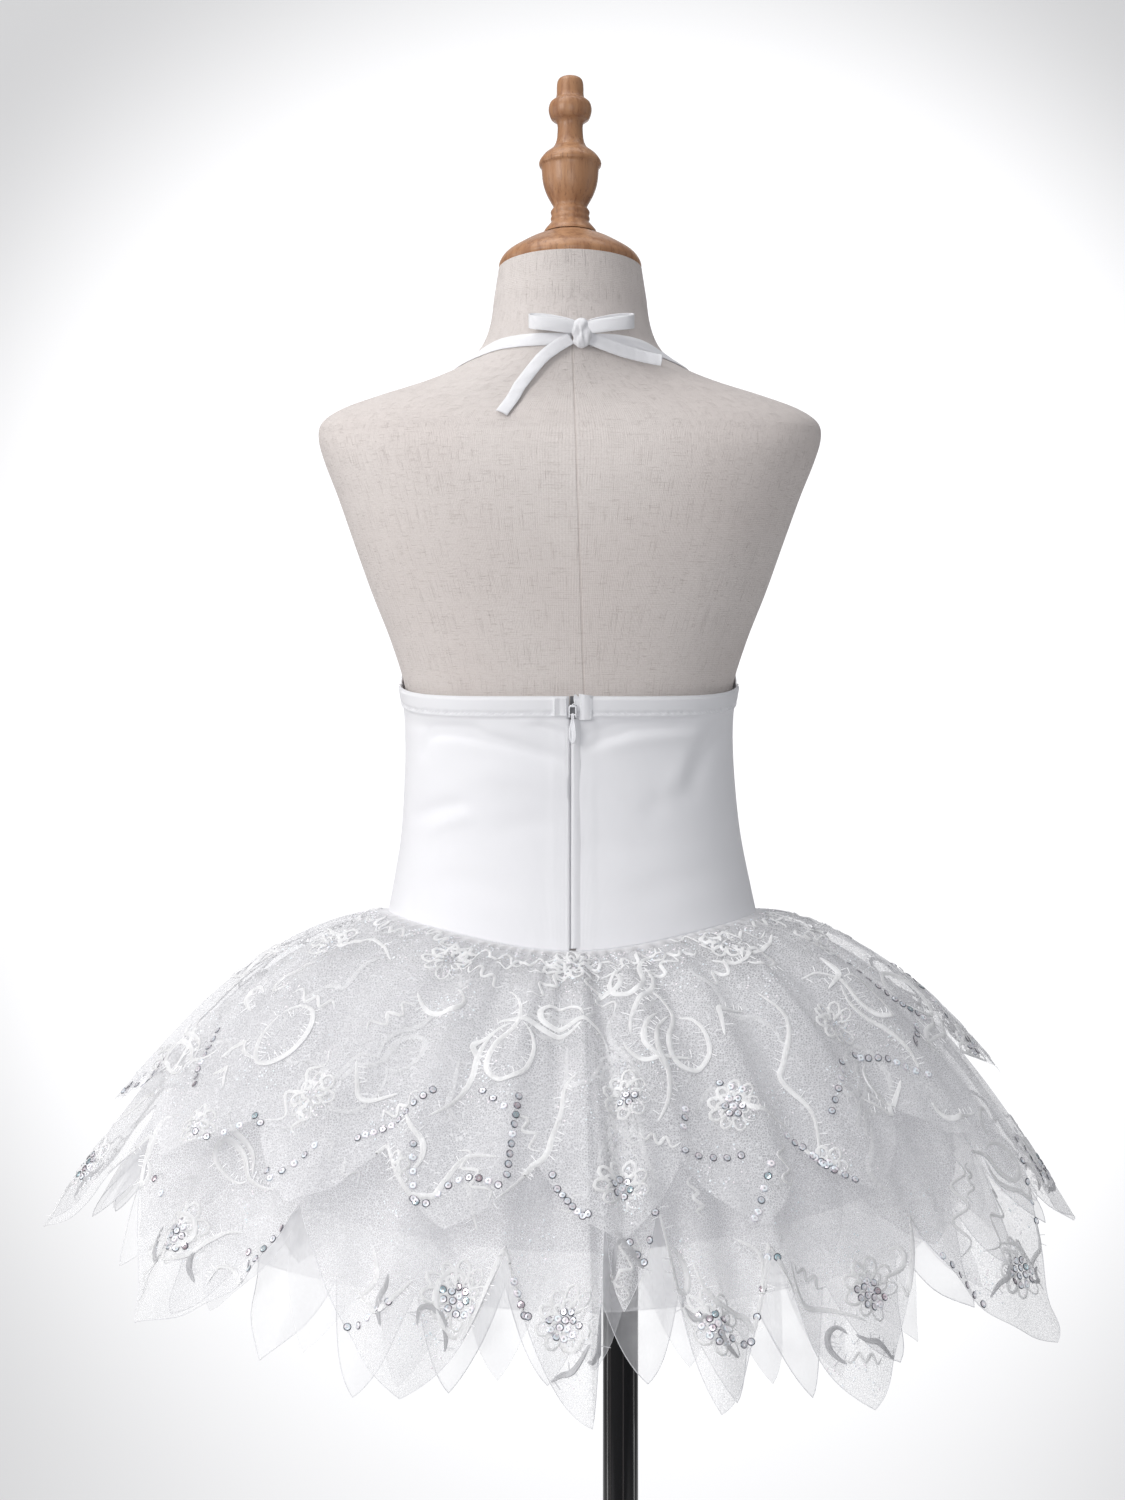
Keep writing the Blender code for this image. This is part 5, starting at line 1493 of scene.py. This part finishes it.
@lru_cache(maxsize=None)
def meridian(name, angle):
    """What a layer's surface needs at one angle: its profile curve, place in the petal and folds."""
    layer = LAYERS[name]
    start_height = waist_height(angle) - 2.0 * SEAM_GAP - layer.order * LAYER_PITCH
    start_radius = polar_radius(angle, start_height) + SKIRT_LIFT
    tip_radius, tip_height = read_round(layer.tips, angle)
    centre = math.sin(math.radians(angle)) ** 2
    handle = HANDLE * math.hypot(tip_radius - start_radius, tip_height - start_height)
    first = math.radians(layer.leave + layer.steeper * centre)
    last = math.radians(layer.end + layer.steeper * centre)
    run = (start_radius, start_radius + handle * math.cos(first),
           tip_radius - handle * math.cos(last), tip_radius)
    fall = (start_height, start_height - handle * math.sin(first),
            tip_height + handle * math.sin(last), tip_height)
    along = along_petal(name, angle)
    folds = []
    for middle, width, depth, start, end in FOLDS:
        off = (angle - middle + 180.0) % 360.0 - 180.0
        if abs(off) < 3.0 * width:
            folds.append((depth * MM * math.exp(-(off / width) ** 2), start, end))
    return run, fall, first, last, along, folds


def edge_share(name, angle):
    """How far down its full profile a layer's cut edge lies at an angle."""
    from_tip = abs(2.0 * meridian(name, angle)[4] - 1.0)
    leaf = LEAF_SLOPE * from_tip + (1.0 - LEAF_SLOPE) * from_tip**2
    return 1.0 - LAYERS[name].petal * leaf


def skirt_point(name, angle, share):
    """A point of a layer; share runs from 0 at the seam to 1 at the petals' tips."""
    layer = LAYERS[name]
    run, fall, first, last, along, folds = meridian(name, angle)
    left = 1.0 - share
    weights = (left**3, 3 * left**2 * share, 3 * left * share**2, share**3)
    radius = sum(weight * value for weight, value in zip(weights, run))
    height = sum(weight * value for weight, value in zip(weights, fall))
    slope = first + (last - first) * share
    out = layer.wave * share**WAVE_GROWTH * math.cos(2.0 * math.pi * layer.waves * (along - 0.5))
    wander = angle + 3.0 * math.sin(math.radians(7.0 * angle + 40.0 * layer.order))
    wave = math.radians(FINE_COUNT * wander + 90.0 * share + 60.0 * layer.order)
    out += FINE_WAVES * share**2 * math.sin(wave)
    for depth, start, end in folds:
        out += (FOLD_GAIN * depth * soft_step(share, start, start + FOLD_IN)
                * soft_step(share, end + FOLD_OUT[0], end + FOLD_OUT[1]))
    if share < GATHER_END:
        wander = 2.2 * math.sin(math.radians(angle * 5.0)) + 1.3 * math.sin(math.radians(angle * 11.0))
        out += (GATHER_DEPTH * math.cos(math.radians(GATHERS * angle) + wander)
                * soft_step(share, 0.0, 0.04) * soft_step(share, GATHER_END, 0.08))
    radius += out * math.sin(slope)
    height += out * math.cos(slope)
    turn = math.radians(angle)
    return Vector((radius * math.cos(turn), radius * math.sin(turn), height))


def make_layer(name, material, *nodes):
    """One layer of the skirt, from the waist seam to its cut edge."""
    columns = split_petals(name)
    edges = [edge_share(name, angle) for angle in columns]
    rows = LAYERS[name].rows

    def place(column, row):
        place_in_turn = (len(columns) - column) % len(columns)
        return skirt_point(name, columns[place_in_turn], edges[place_in_turn] * row / rows)

    mesh_data = bent_grid(place, len(columns), rows, wrap=True)
    dress(piece_of(name + "_cloth", mesh_data, [material]), LAYER_SLOTS[name], *nodes)


def make_skirt():
    """The five layers and the organza's second ply, each of its own see-through cloth."""
    coarse = (1.5 * MM, 0.24 * MM, 0.66)
    upper_net = sheer_finish("upper_net", (0.93, 0.93, 0.95), 0.17, coarse, 0.25, grain=0.6, loose=0.9)
    denser = (1.5 * MM, 0.25 * MM, 0.72)
    lower_net = sheer_finish("lower_net", (0.92, 0.92, 0.935), 0.30, denser, 0.5, grain=0.9, loose=0.9)
    organza = sheer_finish("organza", (0.90, 0.90, 0.92), 0.34, None, 0.55, roughness=0.42)
    net = sheer_finish("hexagon_net", (0.92, 0.92, 0.94), 0.18, (1.3 * MM, 0.2 * MM, 0.6), 0.5)
    lining = sheer_finish("lining", (0.95, 0.95, 0.965), 0.88, None, 0.9, translucent=0.12)
    layers = {"overlay_upper": upper_net, "overlay_lower": lower_net, "organza_points": organza,
              "skirt_net": net, "skirt_lining": lining}
    for name, material in layers.items():
        make_layer(name, material, name)
    make_layer("organza_under", organza)


# ---- embroidery ---------------------------------------------------------------------------------
def cloth_place(name, angle, share, across, down):
    """Angle and share of a spot that lies across and down from a place, in metres on the net."""
    turn, step = 0.5, 0.01
    here = skirt_point(name, angle, share)
    turn_length = (skirt_point(name, angle + turn, share) - here).length
    step_length = (skirt_point(name, angle, share + step) - here).length
    spot = angle + turn * across / turn_length
    edge = edge_share(name, spot) - HEM_CLEAR
    return spot, min(max(share + step * down / step_length, SEAM_CLEAR), edge)


def cloth_normal(name, angle, share):
    """The outward direction of a layer at a spot."""
    here = skirt_point(name, angle, share)
    round_step = skirt_point(name, angle + 0.4, share) - here
    down_step = skirt_point(name, angle, share + 0.004) - here
    return down_step.cross(round_step).normalized()


def lay_route(pile, name, spots, half_width, lashes=True):
    """Lays a cord over a layer along spots of angle and share, with the thread ends beside it."""
    points, normals = [], []
    for angle, share in spots:
        normal = cloth_normal(name, angle, share)
        points.append(skirt_point(name, angle, share) + normal * CORD_LIFT)
        normals.append(normal)
    add_cord(pile, points, normals, half_width, CORD_RISE * half_width / CORD_HALF_WIDTH)
    if not lashes:
        return
    run = 0.0
    for index in range(1, len(points)):
        run += (points[index] - points[index - 1]).length
        if run < LASH_PITCH:
            continue
        run = CHANCE.uniform(-0.8, 0.5) * MM
        if CHANCE.random() < LASH_GAPS:
            continue
        ahead = (points[index] - points[index - 1]).normalized()
        side = normals[index].cross(ahead).normalized() * CHANCE.choice((1.0, 1.0, -1.0))
        lean = ahead * CHANCE.uniform(-0.35, 0.35) + side
        start = points[index] + side * (half_width * 0.6)
        end = start + lean.normalized() * CHANCE.uniform(*LASH_LENGTH) * MM + normals[index] * 0.3 * MM
        add_stitch(pile, start, end, LASH_RADIUS, sides=3)


def turned_route(route, turn, size, flip):
    """A route in metres, turned by degrees, scaled, and mirrored where flip is -1."""
    turn = math.radians(turn)
    moved = []
    for across, down in route:
        moved.append((flip * size * MM * (across * math.cos(turn) - down * math.sin(turn)),
                      size * MM * (across * math.sin(turn) + down * math.cos(turn))))
    return moved


def add_motif(pile, name, kind, angle, share, turn, size, flip):
    """Lays the cords of one kind of motif on a layer."""
    for route in ROUTES[kind]:
        smooth = smooth_route(route, 5 * (len(route) - 1))
        moved = turned_route(smooth, turn, size, flip)
        spots = [cloth_place(name, angle, share, across, down) for across, down in moved]
        wide = CORD_HALF_WIDTH * (FINE_CORD if kind == "meander" else 1.0)
        lay_route(pile, name, spots, wide, lashes=kind != "meander")


def add_flower(pile, name, angle, share, radius, petals, turn):
    """Two rings of looped petals, each drawn in one wandering cord."""
    for size, shift in ((1.0, 0.0), (0.62, 0.5)):
        steps = 10 * petals
        spots = []
        for step in range(steps + 1):
            lap = 2.0 * math.pi * step / steps
            wander = 0.05 * math.sin(3.0 * lap + turn)
            reach = size * radius * MM * (0.70 + 0.30 * math.cos(petals * lap) + wander)
            reach += 0.5 * MM * math.sin(petals * 5.0 * lap)
            swing = lap + turn + shift + 1.25 / petals * math.sin(petals * lap)
            spots.append(cloth_place(name, angle, share, reach * math.cos(swing), reach * math.sin(swing)))
        lay_route(pile, name, spots, CORD_HALF_WIDTH * FINE_CORD, lashes=False)


def seat_on(name, spot, lift, normal, facing):
    """Where a small thing sits: lifted off a layer's spot along its normal, and turned to face a way."""
    turn = facing.to_track_quat("Z", "Y").to_matrix().to_4x4()
    return Matrix.Translation(skirt_point(name, *spot) + normal * lift) @ turn


def add_glitter(pile, name, angle, share, radius, count):
    """Seed beads strewn over a patch, closer together towards its middle."""
    for _ in range(count):
        turn = CHANCE.uniform(0.0, 2.0 * math.pi)
        reach = radius * MM * CHANCE.random() ** 0.7
        spot = cloth_place(name, angle, share, reach * math.cos(turn), reach * math.sin(turn))
        normal = cloth_normal(name, *spot)
        bead = CHANCE.uniform(0.4, 0.75) * MM
        seat = seat_on(name, spot, BEAD_LIFT, normal, normal)
        bmesh.ops.create_cone(pile.current(), cap_ends=False, segments=5, radius1=bead, radius2=0.0,
                              depth=bead * 0.7, matrix=seat)


def cluster_places(count):
    """Spots for a tight cluster of sequins, in metres, from the middle out."""
    places = [(0.0, 0.0)]
    for ring in (1, 2):
        for step in range(6 * ring):
            turn = 2.0 * math.pi * step / (6 * ring) + 0.3 * ring
            places.append((ring * SEQUIN_PITCH * math.cos(turn), ring * SEQUIN_PITCH * math.sin(turn)))
    return places[:count]


def add_sequin(pile, name, angle, share):
    """One cupped sequin with its hole, tipped a little."""
    normal = cloth_normal(name, angle, share)
    lean = Vector((CHANCE.uniform(-1, 1), CHANCE.uniform(-1, 1), CHANCE.uniform(-1, 1)))
    seat = seat_on(name, (angle, share), SEQUIN_LIFT, normal, normal + lean * SEQUIN_LEAN)
    for flange, outer, inner, depth, rise in SEQUIN_RINGS:
        raised = seat @ Matrix.Translation((0.0, 0.0, rise))
        ring = bmesh.ops.create_cone(pile.current(), cap_ends=False, segments=12, radius1=outer,
                                     radius2=inner, depth=depth, matrix=raised)
        for face in {face for vert in ring["verts"] for face in vert.link_faces}:
            face.material_index = flange


def sides_of(angle):
    """A motif's angle on the back, and its twin's on the front, with the flip of each."""
    return ((angle, 1.0), (360.0 - angle, -1.0))


def strew(name):
    """Seeded places for the motifs between the placed ones, kept apart from one another."""
    wanted, first, last = STREWN[name]
    found = []
    for _ in range(wanted * 30):
        angle = CHANCE.uniform(0.0, 360.0)
        share = first + (last - first) * CHANCE.random() ** 0.8
        if share > edge_share(name, angle) - 0.06:
            continue
        spot = skirt_point(name, angle, share)
        if all((spot - other).length > STREWN_APART for _, _, other in found):
            found.append((angle, share, spot))
        if len(found) == wanted:
            break
    return [(angle, share) for angle, share, _ in found]


def add_waist_chain(pile, name):
    """The close wavy cords just under the waist seam."""
    for step in range(int(360.0 / WAIST_STEP)):
        angle = step * WAIST_STEP + CHANCE.uniform(-2.0, 2.0)
        share = CHANCE.uniform(0.055, 0.11)
        add_motif(pile, name, "meander", angle, share, 90.0 + CHANCE.uniform(-30.0, 30.0),
                  CHANCE.uniform(0.7, 1.0), CHANCE.choice((-1.0, 1.0)))


def make_embroidery(name, motifs, flowers, cord):
    """All the white cords of a layer: strewn motifs, the placed ones, and flowers."""
    pile = Pile()
    for angle, share in strew(name):
        add_motif(pile, name, CHANCE.choice(STREWN_KINDS), angle, share, CHANCE.uniform(0.0, 360.0),
                  CHANCE.uniform(0.55, 0.85), CHANCE.choice((-1.0, 1.0)))
    if name == "overlay_upper":
        add_waist_chain(pile, name)
    for kind, angle, share, turn, size in motifs:
        for place, flip in sides_of(angle):
            add_motif(pile, name, kind, place, share, turn, size, flip)
    for angle, share, radius, petals, _ in flowers:
        for place, _ in sides_of(angle):
            add_flower(pile, name, place, share, radius, petals, CHANCE.uniform(0.0, 1.0))
    dress(piece_of(name + "_cords", pile.joined(), [cord]), "embroidered_net")


def make_tip_cords(name, cord):
    """The white cords that cross each petal on both sides of its tip, painted grey as shade."""
    pile = Pile()
    for first, tip, last in petals_of(name):
        for angle in (tip - TIP_ASIDE * (tip - first), tip + TIP_ASIDE * (last - tip)):
            share = edge_share(name, angle) - CHANCE.uniform(0.06, 0.13)
            add_motif(pile, name, CHANCE.choice(TIP_KINDS), angle, share,
                      CHANCE.uniform(0.0, 360.0), CHANCE.uniform(0.7, 1.0), CHANCE.choice((-1.0, 1.0)))
    dress(piece_of(name + "_tip_cords", pile.joined(), [cord]), "embroidered_net")


def make_sequins(name, flowers, strings, finishes):
    """Sequins in clusters on the flowers and in rows between them; each finish is its own mesh."""
    piles = [Pile() for _ in finishes]
    for angle, share, _, _, count in flowers:
        for place, _ in sides_of(angle):
            for across, down in cluster_places(count):
                spot = cloth_place(name, place, share, across, down)
                add_sequin(CHANCE.choices(piles, SEQUIN_MIX)[0], name, *spot)
    for first_angle, first_share, last_angle, last_share, count, sag in strings:
        for index in range(count):
            step = index / max(count - 1, 1)
            angle = first_angle + (last_angle - first_angle) * step
            share = first_share + (last_share - first_share) * step + sag * math.sin(math.pi * step)
            for place, _ in sides_of(angle):
                spot = cloth_place(name, place, min(share, 0.99), 0.0, 0.0)
                add_sequin(CHANCE.choices(piles, SEQUIN_MIX)[0], name, *spot)
    for angle, share, radius, _, count in flowers:
        for place, _ in sides_of(angle):
            add_glitter(piles[count > 0], name, place, share, radius * 0.95, BEADS_ON_FLOWER)
    for angle, share in strew(name):
        add_glitter(piles[1], name, angle, share, BEAD_PATCH, BEADS_STREWN)
    if name == "overlay_upper":
        for step in range(int(360.0 / WAIST_STEP)):
            angle = (step + 0.5) * WAIST_STEP
            add_glitter(piles[step % 2], name, angle, WAIST_SHARE, WAIST_PATCH, BEADS_STREWN)
    for (finish_name, material, flange), pile in zip(finishes, piles):
        dress(piece_of(name + "_" + finish_name, pile.joined(), [material, flange]), "embroidered_net")


def make_rim(name, thread, radius):
    """The fine rolled edge along a layer's cut points."""
    angles = split_petals(name)
    points = [skirt_point(name, angle, edge_share(name, angle)) for angle in angles]
    normals = [cloth_normal(name, angle, edge_share(name, angle) - 0.005) for angle in angles]
    count = len(points)

    def place(column, row):
        here = row % count
        ahead = (points[(here + 1) % count] - points[here - 1]).normalized()
        return oval_point(points[here], ahead, normals[here], column / CORD_AROUND, radius, radius)

    mesh_data = bent_grid(place, CORD_AROUND, count, wrap=True)
    dress(piece_of(name + "_rim", mesh_data, [thread]), LAYER_SLOTS[name])


# flat cuts of what shows; columns: piece, width and length in metres, how held, area where the cut
# isn't a rectangle
CUTS = (
    ("bodice_back_left_satin", 0.150, 0.152, "stretched", None),
    ("bodice_back_right_satin", 0.150, 0.152, "stretched", None),
    ("bodice_front_satin", 0.330, 0.300, "stretched", 0.073),
    ("strap_left_satin", 0.010, 0.215, "stretched", None),
    ("strap_right_satin", 0.010, 0.205, "stretched", None),
    ("bow_loop_left_satin", 0.010, 0.068, "folded", None),
    ("bow_loop_right_satin", 0.010, 0.068, "folded", None),
    ("bow_tail_left_satin", 0.010, 0.068, "hung", None),
    ("bow_tail_right_satin", 0.010, 0.053, "hung", None),
    ("overlay_upper_cloth", 1.60, 0.220, "gathered", 0.300),
    ("overlay_lower_cloth", 1.95, 0.270, "gathered", 0.430),
    ("organza_points_cloth", 1.75, 0.260, "gathered", 0.385),
    ("organza_under_cloth", 1.70, 0.250, "gathered", 0.360),
    ("skirt_net_cloth", 1.40, 0.210, "gathered", None),
    ("skirt_lining_cloth", 1.15, 0.180, "gathered", None),
)
TRIMS = {
    "bodice_back_right_satin": ("zip_folds_satin", "zip_coil_tape", "white_stitches"),
    "strap_left_satin": ("bow_knot_satin",),
    "overlay_upper_cloth": ("overlay_upper_cords",),
    "overlay_lower_cloth": ("overlay_lower_cords", "overlay_lower_tip_cords", "overlay_lower_rim"),
    "organza_points_cloth": ("organza_points_rim",),
}


def declare_cloth():
    """Gathers each cloth's trims, those listed in TRIMS and its sequin pieces; nothing is done with them.
    """
    pieces = bpy.data.objects
    for name, width, length, held, area in CUTS:
        trims = [pieces[trim] for trim in TRIMS.get(name, ())]
        if name.endswith("_cloth"):
            sequins = name.replace("_cloth", "_sequins")
            trims += [piece for piece in pieces if piece.name.startswith(sequins)]


def main():
    make_camera()
    make_light()
    make_room()
    satin = make_satin()
    tree = make_form(make_linen())
    make_wood_pieces(make_wood())
    make_stand(make_black_metal())
    make_back_panel(1.0, "bodice_back_left", satin)
    make_back_panel(-1.0, "bodice_back_right", satin)
    make_front(satin)
    make_skirt()
    make_straps(tree, satin)
    knot = on_back(tree, KNOT_CENTRE[0], KNOT_CENTRE[1], KNOT_LIFT)
    make_knot(knot, satin)
    make_loops(knot, satin)
    make_tails(tree, satin)
    make_zip_folds(tree, satin)
    painted_shade = make_painted_shade()
    make_zip_coil(tree, make_zip_tape(), painted_shade)
    enamel = make_enamel()
    make_pull(make_slider(tree, enamel, painted_shade), enamel)
    make_stitches(tree, make_thread())
    cord = make_cord("white_cord", (0.93, 0.93, 0.95), (1.0, 1.0, 1.0))
    # the tip cords are white cord painted grey as shade
    make_tip_cords("overlay_lower", make_cord("silver_cord", (0.46, 0.46, 0.48), (0.72, 0.72, 0.74)))
    make_embroidery("overlay_upper", UPPER_MOTIFS, UPPER_FLOWERS, cord)
    make_embroidery("overlay_lower", LOWER_MOTIFS, LOWER_FLOWERS, cord)
    # the flanges are painted darker than the films, as shade and reflection
    flange_painted_shades = {name: make_sequin(name + "_flange", *look) for name, look in FLANGE_PAINTED_SHADES.items()}
    finishes = [("sequins_" + name, make_sequin(name + "_film", *look), flange_painted_shades[flange])
                for name, *look, flange in SEQUIN_FILMS]
    make_sequins("overlay_upper", UPPER_FLOWERS, UPPER_STRINGS, finishes)
    make_sequins("overlay_lower", LOWER_FLOWERS, LOWER_STRINGS, finishes)
    edge = make_cut_edge()
    for name, radius in (("organza_points", 0.24 * MM), ("overlay_lower", 0.22 * MM)):
        make_rim(name, edge, radius)
    declare_cloth()


main()
